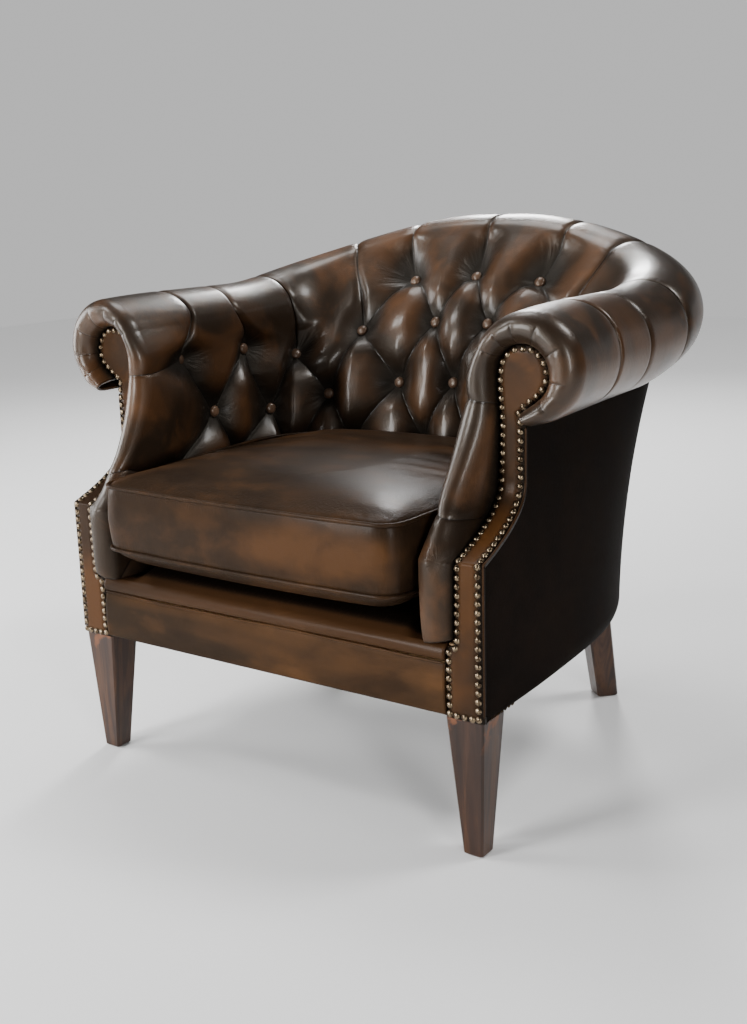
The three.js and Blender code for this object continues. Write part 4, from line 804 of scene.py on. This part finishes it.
def pad_surface(signed, v):
    column = np.abs(signed)
    along, row, over = pad_rows(column, v)
    over_arm = np.where(column > 1.25, np.clip(2 - row, 0, 1), 0)
    leather = Folds(column, row, over + over_arm)
    raised = (rim_fullness(column, row) - leather.depth)[..., None]
    point = section_at(column, along) + facing_way(column, along) * raised
    point[..., 2] = np.where(v <= 0, pad_bottom, point[..., 2])
    return sweep_pad(point), leather


def core_line(column):
    """Knots of the padded core's face, inside the leather."""
    rows = [wall_knot(inner_walls, column, n) for n in range(core_rows)]
    widening = smooth((column - 4.4) / 0.5)
    radius, inset = lerp(*core_radius, widening), lerp(*core_inset, widening)
    rows += [roll_knot(column, angle, radius, inset, core_drop) for angle in core_angles]
    tail_radius = roll_radius(np.interp(column, half_steps, roll_shares)) * tail_radius_share
    rows.append(roll_knot(column, tail_angle, tail_radius, tail_inset))
    return sweep_pad(np.stack(rows, -2))


def tufted_finish():
    """Glossy rubbed leather with painted shade: near black deep in its folds and button pits, a thin dark
    line along each crease, and creases bumped at the folds and buttons.
    """
    leather = Finish("leather_tufted", Coat_Roughness=0.2)
    leather.feed(Specular_IOR_Level=0.32, Specular_Tint=warm_gloss)
    here = leather.place()
    depth, crown = (leather.number(leather.channel(name)) for name in ("depth", "crown"))
    fold, line = (leather.number(leather.channel(name)) for name in ("fold", "line"))
    plan, pull = (leather.channel(name, "Vector") for name in ("plan", "pull"))
    spread = leather.axis(pull, "Z")
    cloud = leather.noise(here, 6.5, detail=3, roughness=0.55, distortion=0.6)
    patch = leather.noise(here, 19, detail=4, roughness=0.6, distortion=0.4)
    grain = leather.number(leather.node("TexVoronoi", Vector=here, Scale=900).outputs["Distance"])
    fine = leather.noise(here, 1400, detail=2, roughness=0.6)
    wrinkle = leather.noise(here, 120, detail=4, roughness=0.62, distortion=1.4)
    ripple = leather.noise(here, 340, detail=3, roughness=0.6, distortion=0.8)
    spokes = leather.noise(leather.scaled(pull, (5, 5, 1.2)), 1.0, detail=3)
    across = leather.noise(leather.scaled(plan, (12, 90, 1)), 1.0, detail=3)
    rub = (cloud.fade(0.45, 0.63) * 0.7 + patch.fade(0.5, 0.7) * 0.45) * crown
    colour = leather.blend(rub.held(), srgb(34, 24, 16), srgb(78, 50, 28))
    # Painted shade: the colour goes near black deep in the folds and button pits.
    colour = leather.blend(depth.fade(0.25, 0.85) * 0.94, colour, srgb(8, 6, 4))
    # Painted shade: a thin dark line along each crease, where the shadow of the fold falls.
    crease_shade_line = (1.0 - (fold * fold / 1.3).held()) * line
    colour = leather.blend(crease_shade_line * 0.92, colour, srgb(6, 4, 3))
    lip_heights = ((0, 1), (0.42, 0.86), (0.495, 0), (0.53, 0.95), (0.62, 1))
    lips = [(place, (height,) * 3) for place, height in lip_heights]
    lip = leather.number(leather.ramp(fold / 40.0 + 0.5, *lips))
    leather.relief(
        (grain, 0.00026, 0.45),
        (fine, 0.0002, 0.3),
        (ripple, 0.0006, 0.35),
        (wrinkle, 0.0009, 0.25),
        ((across - 0.5) * line, 0.003, 0.4),
        ((spokes - 0.5) * spread * patch.fade(0.3, 0.66), 0.008, 0.4),
        ((lip - 1.0) * line, 0.0014, 0.6),
    )
    dull = depth.fade(0.4, 0.9).most(1.0 - leather.axis(here, "Z").fade(0.36, 0.41))
    leather.feed(Roughness=0.3 + 0.12 * patch + 0.06 * fine + 0.22 * dull, Coat_Weight=0.3 - 0.27 * dull)
    leather.feed(Base_Color=colour)
    return leather


def place_back(u, v):
    signed = lerp(-back_end, back_end, u)
    point, leather = pad_surface(signed, v)
    x = point[:, 0] * np.where(signed < 0, -1, 1)
    return to_chair(x, point[:, 1], point[:, 2]), leather.channels(np.abs(signed) * pitch / 1000)


tufted_leather = tufted_finish()
back_mesh = face_out(sheet_of(320, 270, place_back), Vector((0, 0.25, 0.5)))
back_piece = leather_piece("inside_back_leather", back_mesh, pad_thick, tufted_leather, "inside_back")

# The arm's grid runs on past its front column over the rim, where the leather is gathered
# round the scroll, tucked twice beside the facing and puckered at the facing's elbow.
rim_from, rim_reach, rim_back = 0.84, 66.0, 20
nose, nose_foot, nose_low, nose_start, nose_fade = 26, 0.55, 0.8, 385, 50
gather_angles = [24, 48, 76, 112, 152, 196, 236]
gather_depth, tuck_depth, pucker_depth, rim_top_knot = 1.5, 1.6, 4, 4.73
gather_from, gather_fade, rim_start, rim_end = 0.9, 0.8, math.radians(30), math.radians(20)
tuck_rows = ((2.12, 0.1), (3.6, 0.14))
elbow_row, elbow_share, elbow_reach = 4.13, 0.62, 30
late_power, core_gap, foot_rows = 2.2, 0.4, 0.35


def nearest_core(ring, core):
    """For each point of the outer ring, how far along the core the closest point lies."""
    gaps = np.linalg.norm(ring[:, None, [0, 2]] - core[None][:, :, [0, 2]], axis=2)
    found = np.maximum.accumulate(gaps.argmin(1)).astype(float)
    found[0], found[-1] = 0, len(core) - 1
    padded = np.concatenate([np.zeros(12), found, np.full(12, len(core) - 1.0)])
    return np.convolve(padded, np.ones(25) / 25, "valid") / (len(core) - 1)


def rim_partners():
    """Shares of the section at the rim, and those of the core that they close on."""
    v = np.linspace(0, 1, 301)
    column = np.full_like(v, arm_end)
    along, row, _ = pad_rows(column, v)
    raised = rim_fullness(column, row)[:, None]
    ring = sweep_pad(section_at(column, along) + facing_way(column, along) * raised)
    steps = np.linspace(0, core_spans, 401)
    return v, nearest_core(ring, along_knots(core_line(np.full_like(steps, arm_end)), steps))


rim_shares, core_shares = rim_partners()


def gather_rim(leather, turn):
    """Adds the rim's gathers, tucks and pucker to its leather; gives how deep they are."""
    rim = turn > 0
    on_rim = smooth(turn / rim_start) * smooth((np.pi - turn) / rim_end)
    reach = smooth((turn - gather_from) / gather_fade) * on_rim
    sunk = np.zeros_like(turn)

    def crease_at(row, wide, strength, depth, softness):
        away = (row - leather.row) * row_space
        near = rim & (np.abs(away) < wide)
        leather.fold = np.where(near, away, leather.fold)
        shown = strength * smooth((crease_reach - np.abs(away)) / crease_fade)
        leather.line = np.where(near, shown, leather.line)
        return np.maximum(sunk, depth * np.exp(-np.abs(away) / softness))

    for angle in gather_angles:
        row = 1 - (wall_rows - 1 + angle / 30 - rim_top_knot) * knot_rows
        sunk = crease_at(row, np.abs(leather.fold), 0.6 * reach, gather_depth * reach, 3)
    for start, drift in tuck_rows:
        sunk = crease_at(start + drift * (turn / np.pi) ** 2, 24, 0.9, tuck_depth * on_rim, 4)
    x, y = (turn / np.pi - elbow_share) * rim_reach, (leather.row - elbow_row) * row_space
    pucker = np.hypot(x, y)
    close = rim & (pucker < elbow_reach)
    spoke = np.stack([x, y, pucker * 0], -1) / np.maximum(pucker, 1)[..., None]
    leather.pull[close] = spoke[close]
    leather.pull[..., 2] = np.where(close, smooth((24 - pucker) / 18), np.where(rim, 0, leather.pull[..., 2]))
    return np.maximum(sunk, pucker_depth * np.exp(-((pucker / 7) ** 2)))


def place_arm(u, v):
    turn = np.clip((u - rim_from) / (1 - rim_from), 0, 1) * np.pi
    column = lerp(back_end, arm_end, np.clip(u / rim_from, 0, 1))
    point, leather = pad_surface(column, v)
    core = core_line(np.full_like(column, arm_end))
    inner = along_knots(core, np.interp(v, rim_shares, core_shares) * core_spans)
    inner[:, 1] = np.maximum(inner[:, 1], swept_back(inner[:, 2]) + core_gap)
    sunk = gather_rim(leather, turn)
    round_rim = turn / (np.pi * 0.8)
    leather.depth = np.maximum(leather.depth * np.clip(1 - round_rim, 0, 1), sunk * 1.3)
    leather.depth = np.maximum(leather.depth, rim_back * smooth((round_rim - 1) * 4))
    foot = np.sqrt(np.clip(1 - (1 - np.clip((deck_row - leather.row) / foot_rows, 0, 1)) ** 2, 0, 1))
    proud = lerp(nose_low, 1, smooth((inner[:, 2] - nose_start) / nose_fade))
    closing = (1 - np.cos(turn)) / 2
    late = 1 - (1 - closing**late_power) ** (1 / late_power)
    x, y, z = (lerp(point[:, n], inner[:, n], late if n == 1 else closing) for n in range(3))
    y = y - nose * lerp(nose_foot, proud, foot) * np.sin(turn) + sunk * np.sin(turn)
    return to_chair(x, y, z), leather.channels((column * pitch + rim_reach * turn / np.pi) / 1000)


arm_mesh = face_out(sheet_of(250, 290, place_arm), Vector((0.34, 0, 0.5)))
for arm_piece in leather_pair("inside_arm_leather", arm_mesh, pad_thick, tufted_leather, "inside_arm"):
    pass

# Buttons
# Leather over a metal shell, pulled into the pads with twine. Each one sits in its own
# pocket and faces the way the leather faces there.
button_shell = ((0.5, -3), (6.5, -2.6), (8.6, 0.4), (8.9, 2.0))
button_crown = ((8.3, 3.8), (6.7, 5.2), (4.0, 6.1), (0.5, 6.4))
button_sides = 24
button_leather = leather_finish(
    "leather_button", srgb(16, 10, 7), srgb(70, 52, 40), srgb(104, 80, 62), 0.9,
    roughness=0.26, coat=0.22, level=0.35,
)


def button_form():
    """The profile spun round, with both of its poles closed."""
    made = bmesh.new()
    for radius, height in button_shell + button_crown:
        made.verts.new((radius / 1000, 0, height / 1000))
    made.verts.ensure_lookup_table()
    for a, b in zip(made.verts[:], made.verts[1:]):
        made.edges.new((a, b))
    line = made.verts[:] + made.edges[:]
    bmesh.ops.spin(
        made, geom=line, angle=math.tau, steps=button_sides, axis=(0, 0, 1), cent=(0, 0, 0), use_merge=True
    )
    bmesh.ops.remove_doubles(made, verts=made.verts[:], dist=1e-6)
    bmesh.ops.contextual_create(made, geom=[e for e in made.edges if e.is_boundary and e.verts[0].co.z > 0])
    bmesh.ops.contextual_create(made, geom=[e for e in made.edges if e.is_boundary])
    bmesh.ops.recalc_face_normals(made, faces=made.faces[:])
    return made


def turned_to(way, place):
    """Moves what stands up at the origin to a place, so that it faces a way there."""
    turn = Vector((0, 0, 1)).rotation_difference(Vector(way))
    return Matrix.Translation(place) @ turn.to_matrix().to_4x4()


counts = {}
for column, row in buttons:
    counts[row] = counts.get(row, 0) + 1
    number = f"{row}_{counts[row]}"
    c = np.array([abs(column)], float)
    along = row_along(np.array([float(row)]), c)
    way = facing_way(c, along)[0]
    x, y, z = sweep_pad(section_at(c, along)[0] - way * button_depth)
    mirror = -1 if column < 0 else 1
    made = button_form()
    seat = turned_to((way[0] * mirror, way[1], way[2]), Vector(to_chair(x * mirror, y, z)))
    bmesh.ops.transform(made, matrix=seat, verts=made.verts[:])
    button = finish_piece(f"leather_button_{number}", made, button_leather)
    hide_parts(f"button_row{number}")

# Arm facings
# A shaped panel on the front of each arm: leather over a thin pad, its middle rubbed to
# tan and swept back with the arm. A thin bead closes its joint with the outer cover.
facing_inset, facing_foot, facing_waist = 0.6, 183.4, 560
facing_body, facing_thickness = 0.72, 0.006
foot_half, foot_top, foot_fade = 289.3, 270, 8
facing_puff, puff_reach, edge_dip = 3.4, 13, 1.2
bead_radius, bead_foot = 0.0014, 192
welt_sides = 10


def facing_outline():
    """The panel's edge from the pad's foot up the inner side, over and out to the neck."""
    steps = np.linspace(0, core_spans, 400)
    fine = along_knots(core_line(np.full_like(steps, arm_end)) * (1, 0, 1), steps)[:, [0, 2]]
    return fine[fine[:, 1] > pad_bottom + 1]


edge_line = facing_outline()
top_height = edge_line[:, 1].max() - facing_inset
neck_low = neck_height(1.0)
peak = edge_line[:, 1].argmax()


def facing_edges(z):
    """The inner and the outer edge of the panel at a height."""
    inner = np.interp(z, edge_line[: peak + 1, 1], edge_line[: peak + 1, 0]) + facing_inset
    inner = lerp(foot_half, inner, smooth((z - foot_top) / foot_fade))
    outer_high = np.interp(z, edge_line[peak:, 1][::-1], edge_line[peak:, 0][::-1]) - facing_inset
    below = cover_point(np.ones_like(z), np.minimum(z, neck_low), 0.0)[0]
    outer = np.where(z < neck_low + 3, below, lerp(below, outer_high, smooth((z - neck_low - 3) / 16)))
    return inner, np.maximum(outer, inner + 0.2)


def place_facing(u, v):
    body = lerp(facing_foot, facing_waist, v / facing_body)
    head = top_height - (top_height - facing_waist) * (1 - (v - facing_body) / (1 - facing_body)) ** 2
    z = np.where(v < facing_body, body, head)
    inner, outer = facing_edges(z)
    x = lerp(inner, outer, (1 - np.cos(np.pi * u)) / 2)
    to_ends = np.minimum(z - facing_foot, (top_height - z) * 1.2 + 0.3)
    edge = np.minimum(np.minimum(x - inner, outer - x), to_ends)
    puff = facing_puff * smooth(edge / puff_reach) - edge_dip * (1 - smooth(edge / 3))
    channels = {"depth": 1 - smooth(edge / 11), "crown": smooth((edge - 5) / 9)}
    return to_chair(x, swept_back(z) - puff, z), channels


def welt(name, points, radius, finish, body="chair", closed=False):
    """A round welt along a line of points in the chair's frame, in metres."""
    count = len(points)
    spans = count if closed else count - 1
    ahead, behind = np.roll(points, -1, 0), np.roll(points, 1, 0)
    if not closed:
        ahead[-1], behind[0] = points[-1], points[0]
    along = ahead - behind
    along /= np.linalg.norm(along, axis=1, keepdims=True)
    side = np.cross(along, (0, 0, 1.0))
    side /= np.linalg.norm(side, axis=1, keepdims=True)
    over = np.cross(side, along)

    def place(u, v):
        n = np.round(u * spans).astype(int) % count
        angle = v[:, None] * 2 * np.pi
        r = radius if closed else radius * np.clip(np.minimum(n, count - 1 - n) + 0.3, 0, 1)[:, None]
        return points[n] + (side[n] * np.cos(angle) + over[n] * np.sin(angle)) * r, {}

    made = bmesh.new()
    made.from_mesh(sheet_of(spans, welt_sides, place))
    bmesh.ops.remove_doubles(made, verts=made.verts[:], dist=radius * 0.02)
    bmesh.ops.recalc_face_normals(made, faces=made.faces[:])
    piece = finish_piece(name, made, finish, body)


facing_leather = leather_finish(
    "leather_facing", srgb(15, 10, 6), srgb(42, 28, 17), srgb(80, 50, 24), 1.15,
    roughness=0.4, coat=0.07, level=0.08, folds=True,
)
facing_mesh = face_out(sheet_of(48, 300, place_facing), Vector((0.33, 0.2, 0.4)))
leather_pair("arm_facing", facing_mesh, facing_thickness, facing_leather, "arm_facing")
bead_z = np.linspace(bead_foot, neck_low - 4, 170)
bead_x, bead_y = facing_edges(bead_z)[1] + 0.9, swept_back(bead_z) + 0.6
for side, mirror in (("right", 1), ("left", -1)):
    welt(f"facing_bead_{side}", to_chair(bead_x * mirror, bead_y, bead_z), bead_radius, facing_leather)

# Nails
# Domed heads in an aged bronze finish, set nearly touching along both edges of each
# facing and across its foot, and a few under the front of each side cover in a darker
# copy of the finish: painted shade for the chair's shaded side.
nail_radius, nail_pitch, nail_flatness = 4.5, 11.1, 0.72
nail_wobble = 0.5
foot_nail_x, foot_nail_y, foot_nail_z = np.linspace(304.5, 326, 3), -2.2, 188.6
cover_nail_y, cover_nail_z = np.linspace(9, 72, 8), 187.5


def nail_head():
    """One head: a flattened half ball of a few dozen faces, standing along +Z."""
    made = bmesh.new()
    bmesh.ops.create_uvsphere(made, u_segments=12, v_segments=8, radius=nail_radius / 1000)
    ball = made.verts[:] + made.edges[:] + made.faces[:]
    bmesh.ops.bisect_plane(made, geom=ball, plane_co=(0, 0, 0.0004), plane_no=(0, 0, -1), clear_outer=True)
    bmesh.ops.scale(made, vec=(1, 1, nail_flatness), verts=made.verts[:])
    mesh = bpy.data.meshes.new("nail")
    made.to_mesh(mesh)
    made.free()
    return mesh


def spaced(points, gap):
    """Points at an even spacing near gap along a line of points, with both of its ends."""
    steps = np.concatenate([[0], np.cumsum(np.linalg.norm(np.diff(points, axis=0), axis=1))])
    where = np.linspace(0, steps[-1], max(round(steps[-1] / gap), 1) + 1)
    return np.column_stack([np.interp(where, steps, points[:, n]) for n in range(points.shape[1])])


def facing_nail_line():
    """Where the heads go, in x and z: up the inner edge, round the scroll and down."""
    head = top_height - (top_height - facing_waist) * np.linspace(1, 0.1, 30) ** 2
    heights = np.concatenate([np.linspace(189.5, facing_waist, 120), head])
    inner, outer = facing_edges(heights)
    ring = np.concatenate([np.column_stack([inner, heights]), np.column_stack([outer, heights])[::-1]])
    fine = spaced(ring, 2.0)
    along = np.roll(fine, -1, 0) - np.roll(fine, 1, 0)
    along[0], along[-1] = fine[1] - fine[0], fine[-1] - fine[-2]
    along /= np.linalg.norm(along, axis=1, keepdims=True)
    moved = fine + np.column_stack([along[:, 1], -along[:, 0]]) * (nail_radius + 0.8)
    gaps = np.linalg.norm(fine[None] - moved[:, None], axis=2).min(1)
    return moved[gaps > nail_radius + 0.3]


def nails_on(name, spots, finish):
    """One mesh of heads; each spot is a place and the way that the head faces."""
    made = bmesh.new()
    template = nail_head()
    for place, way in spots:
        start = len(made.verts)
        made.from_mesh(template)
        made.verts.ensure_lookup_table()
        bmesh.ops.transform(made, matrix=turned_to(way, place), verts=made.verts[start:])
    finish_piece(name, made, finish)


def nail_spots(side):
    spots = []
    x, z = facing_nail_line().T
    for x, y, z in spaced(np.column_stack([x, swept_back(z) - 1.9, z]), nail_pitch):
        wobble = noise.noise(Vector((x * 0.31, z * 0.37, side))) * nail_wobble
        slope = (swept_back(z + 1) - swept_back(z - 1)) / 2
        spots.append((Vector(to_chair((x + wobble) * side, y, z)), (0, -1, slope)))
    for x in foot_nail_x:
        spots.append((Vector(to_chair(x * side, foot_nail_y, foot_nail_z)), (0, -1, 0)))
    return spots


def cover_nail_spots(side):
    spots = []
    for y in cover_nail_y:
        share = np.interp(-y, -base_plan.y, base_plan.s)
        x, at, _ = cover_point(share, cover_nail_z, 0.0)
        ox, oy = base_plan.out(share)
        spots.append((Vector(to_chair((x + 0.2) * side, at, cover_nail_z)), (-ox * side, -oy, 0)))
    return spots


# A darker copy of the bronze for the side covers' nails: painted shade for the chair's dark side.
shaded_bronze = Finish("nail_bronze_shaded", Metallic=1.0, Roughness=0.42)
shaded_bronze_patina = shaded_bronze.noise(shaded_bronze.place(), 300, detail=3, roughness=0.6)
shaded_bronze.feed(Base_Color=shaded_bronze.blend(shaded_bronze_patina.fade(0.4, 0.6), srgb(66, 54, 42), srgb(30, 24, 18)))
bronze = Finish("nail_bronze", Metallic=1.0, Roughness=0.3)
patina = bronze.noise(bronze.place(), 260, detail=3, roughness=0.6)
bronze.feed(Base_Color=bronze.blend(patina.fade(0.4, 0.65), srgb(136, 120, 98), srgb(60, 48, 36)))
bronze.feed(Roughness=0.2 + 0.25 * patina)
bronze.relief((patina, 0.0004, 0.3))
for side, mirror in (("right", 1), ("left", -1)):
    nails_on(f"nails_cover_{side}", cover_nail_spots(mirror), shaded_bronze)
    nails_on(f"nails_facing_{side}", nail_spots(mirror), bronze)

# Front border
# A flat padded band of leather between the facings. Its lower edge is turned under the
# rail, and a folded welt closes its upper edge against the lip of the seat.
border_half, border_foot, border_top, border_thick = 288.6, 183.4, 252.8, 0.004
border_turn, turn_height, border_puff = 7, 5, 4.6
fold_half, fold_out, fold_height, fold_radius = 288, 2.6, 253.4, 0.0019
border_leather = leather_finish(
    "leather_border", srgb(20, 14, 9), srgb(40, 29, 19), srgb(78, 53, 31), 1.0,
    roughness=0.42, coat=0.07, level=0.03, stretch=2.6,
)


def place_border(u, v):
    x = lerp(-border_half, border_half, u)
    z = lerp(border_foot, border_top, v)
    turned = np.clip(1 - (z - border_foot) / turn_height, 0, 1) ** 2 * border_turn
    sway = 0.6 * np.sin(x / 47 + 1.2) * np.sin(np.pi * v)
    crown = np.sqrt(np.clip(np.sin(np.pi * np.clip(v * 0.92 + 0.06, 0, 1)), 0, 1))
    return to_chair(x, -(border_puff * crown - turned + sway), z), {}


border_mesh = face_out(sheet_of(160, 40, place_border), Vector((0, 0.2, 0.22)))
leather_piece("front_border_band", border_mesh, border_thick, border_leather, "front_border")
fold_x = np.linspace(-fold_half, fold_half, 190)
fold_wave = 0.7 * np.sin(fold_x / 61 + 0.5) + 0.4 * np.sin(fold_x / 23)
welt("front_fold_welt", to_chair(fold_x, -fold_out, fold_height + fold_wave), fold_radius, border_leather)

# Seat deck
# The leather platform under the cushion. Its front is a soft rounded lip that rises from
# the folded welt, and its sides run under the arm pads.
deck_half, deck_side_top, deck_thick = 288.5, 275.5, 0.004
deck_lip = [(9, 253.4), (1, 254.4), (-3.4, 257.5), (-4.6, 263), (-3.4, 269.5), (1.5, 275.2), (10, 279.6)]
deck_top = [(24, 285.4), (48, 293), (90, 298.6), (150, 300), (300, 300), (410, 300)]
deck_profile = np.array([(0, y, z) for y, z in deck_lip + deck_top], float)
# Its near black colour is a painted shadow under the cushion; the lip stays lighter.
deck_leather = leather_finish(
    "leather_deck", srgb(6, 4, 3), srgb(30, 21, 14), srgb(72, 47, 26), 0.9,
    roughness=0.42, coat=0.1, level=0.05, folds=True, stretch=2.6,
)


def place_deck(u, v):
    x = lerp(-deck_half, deck_half, u)
    at = along_knots(deck_profile[None].repeat(len(v), 0), v**0.9 * (len(deck_profile) - 1))
    z = np.minimum(at[:, 2], lerp(at[:, 2], deck_side_top, smooth((np.abs(x) - 222) / 24)))
    ripple = 0.8 * np.sin(x / 38) * smooth(at[:, 2] / 10 - 26) * np.clip(1 - at[:, 1] / 60, 0, 1)
    # Painted shadow: behind the lip the colour darkens to near black, standing for the shade under the
    # cushion.
    under = smooth((at[:, 1] - 6) / 26)
    return to_chair(x, at[:, 1] + ripple, z), {"depth": under, "crown": 1 - under}


deck_mesh = face_out(sheet_of(170, 90, place_deck), Vector((0, 0.05, 0.1)))
leather_piece("seat_deck_leather", deck_mesh, deck_thick, deck_leather, "seat_deck")

# Seat cushion
# A loose boxed cushion: crowned top and bottom panels and a boxing strip between two
# piped seams, filled full. It lifts off the deck.
cushion_front, cushion_half, cushion_front_half, cushion_corner, cushion_bow = -40, 258, 244, 30, 6
cushion_gap, seam_low, seam_high = 6, 335, 424
piping_out, piping_radius, piping_gap = 1.0, 0.0027, 4.0
fineness, blown_frames, most_blown = 0.005, 20, 0.007
seam_hold, bottom_hold = 0.006, 0.304


def cushion_line(height, out=0.0):
    """The seam at a height: round the tub's plan, along the sides and the bowed front."""
    share = (height - pad_bottom) / (roll_height(0.0) - pad_bottom)
    rake = np.interp(share, height_share, rake_share)
    back_y = lerp(inside_depth, roll_back - back_radius, rake) - cushion_gap
    side_y = back_y - inside_bend
    x, y = Tub(cushion_half, side_y, inside_bend, tub_power).at(np.linspace(0, 1, 150))
    forward = np.clip(1 - y / side_y, 0, 1)
    x = x * lerp(1, cushion_front_half / cushion_half, smooth(forward))
    y = y + cushion_front * forward
    keep = y > cushion_front + cushion_corner * 1.05
    a = np.radians(np.linspace(0, 90, 10))
    corner_x, corner_y = cushion_front_half - cushion_corner, cushion_front + cushion_corner
    straight = np.linspace(corner_x, 0, 26)[1:]
    bow = cushion_front - cushion_bow * (1 - (straight / corner_x) ** 2)
    x = np.concatenate([x[keep], corner_x + cushion_corner * np.cos(a), straight])
    y = np.concatenate([y[keep], corner_y - cushion_corner * np.sin(a), bow])
    half = np.column_stack([x, y])
    whole = np.concatenate([half, half[-2:0:-1] * (-1, 1), half[:1]])
    line = spaced(whole, piping_gap)[:-1]
    away = line - (0, line[:, 1].mean())
    line = line + out * away / np.linalg.norm(away, axis=1, keepdims=True)
    return to_chair(line[:, 0], line[:, 1], height)


def held_at_seams(points):
    """How firmly the seams and the flat bottom hold each point, from 0 to 1."""
    weights = np.zeros(len(points))
    for seam in (cushion_line(seam_high), cushion_line(seam_low)):
        near = np.abs(points[:, 2] - seam[0, 2]) < 0.014
        gaps = np.linalg.norm(points[near][:, None, :2] - seam[None, :, :2], axis=2).min(1)
        gaps = np.hypot(gaps, points[near][:, 2] - seam[0, 2])
        weights[near] = np.maximum(weights[near], smooth(1.4 - gaps / seam_hold))
    return np.maximum(weights, smooth((bottom_hold - points[:, 2]) / 0.003))


def blown(form, weights):
    """Where a form's points come to when the stuffing's pressure fills it as a cloth."""
    group = form.vertex_groups.new(name="held")
    for n, weight in enumerate(weights):
        if weight > 0.01:
            group.add([n], float(weight), "REPLACE")
    cloth = form.modifiers.new("cloth", "CLOTH")
    cloth.settings.use_pressure = True
    cloth.settings.uniform_pressure_force = 4
    cloth.settings.vertex_group_mass = "held"
    cloth.settings.effector_weights.gravity = 0
    cloth.settings.quality = 5
    cloth.point_cache.frame_start, cloth.point_cache.frame_end = 1, blown_frames
    for f in range(1, blown_frames + 1):
        bpy.context.scene.frame_set(f)
    graph = bpy.context.evaluated_depsgraph_get()
    points = np.array([v.co for v in form.evaluated_get(graph).data.vertices])
    form.modifiers.clear()
    bpy.context.scene.frame_set(1)
    return points


def stuffed(source):
    """Fills the cushion's closed form as stuffing does: remeshed, blown up a little where
    its seams don't hold it, and kept near where it began."""
    made = bmesh.new()
    made.from_mesh(source)
    bmesh.ops.remove_doubles(made, verts=made.verts[:], dist=1e-5)
    mesh = bpy.data.meshes.new("cushion_form")
    made.to_mesh(mesh)
    made.free()
    form = bpy.data.objects.new("cushion_form", mesh)
    bpy.context.scene.collection.objects.link(form)
    remesh = form.modifiers.new("remesh", "REMESH")
    remesh.mode, remesh.voxel_size = "VOXEL", fineness
    soften = form.modifiers.new("soften", "SMOOTH")
    soften.factor, soften.iterations = 0.5, 6
    graph = bpy.context.evaluated_depsgraph_get()
    form.data = filled = bpy.data.meshes.new_from_object(form.evaluated_get(graph))
    form.modifiers.clear()
    start = np.array([v.co for v in filled.vertices])
    moved = blown(form, held_at_seams(start)) - start
    size = np.linalg.norm(moved, axis=1, keepdims=True)
    moved *= np.minimum(1, most_blown / np.maximum(size, 1e-9))
    filled.vertices.foreach_set("co", (start + moved).astype(np.float32).ravel())
    filled.update()
    bpy.data.objects.remove(form)
    return filled


cushion_leather = leather_finish(
    "leather_cushion", srgb(22, 15, 10), srgb(40, 29, 20), srgb(70, 47, 28), 0.95,
    roughness=0.36, coat=0.1, level=0.02, stretch=1.4, seams=(seam_low / 1000, seam_high / 1000),
)
cushion_mesh = stuffed(frame["nodes"]["seat_cushion"].data)
cushion = finish_piece("seat_cushion_leather", cushion_mesh, cushion_leather, body="cushion")
finer = cushion.modifiers.new("finer", "SUBSURF")
finer.levels = finer.render_levels = 1
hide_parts("seat_cushion")
for name, height in (("cushion_welt_top", seam_high), ("cushion_welt_low", seam_low)):
    seam = cushion_line(height, piping_out)
    welt(name, seam, piping_radius, cushion_leather, body="cushion", closed=True)
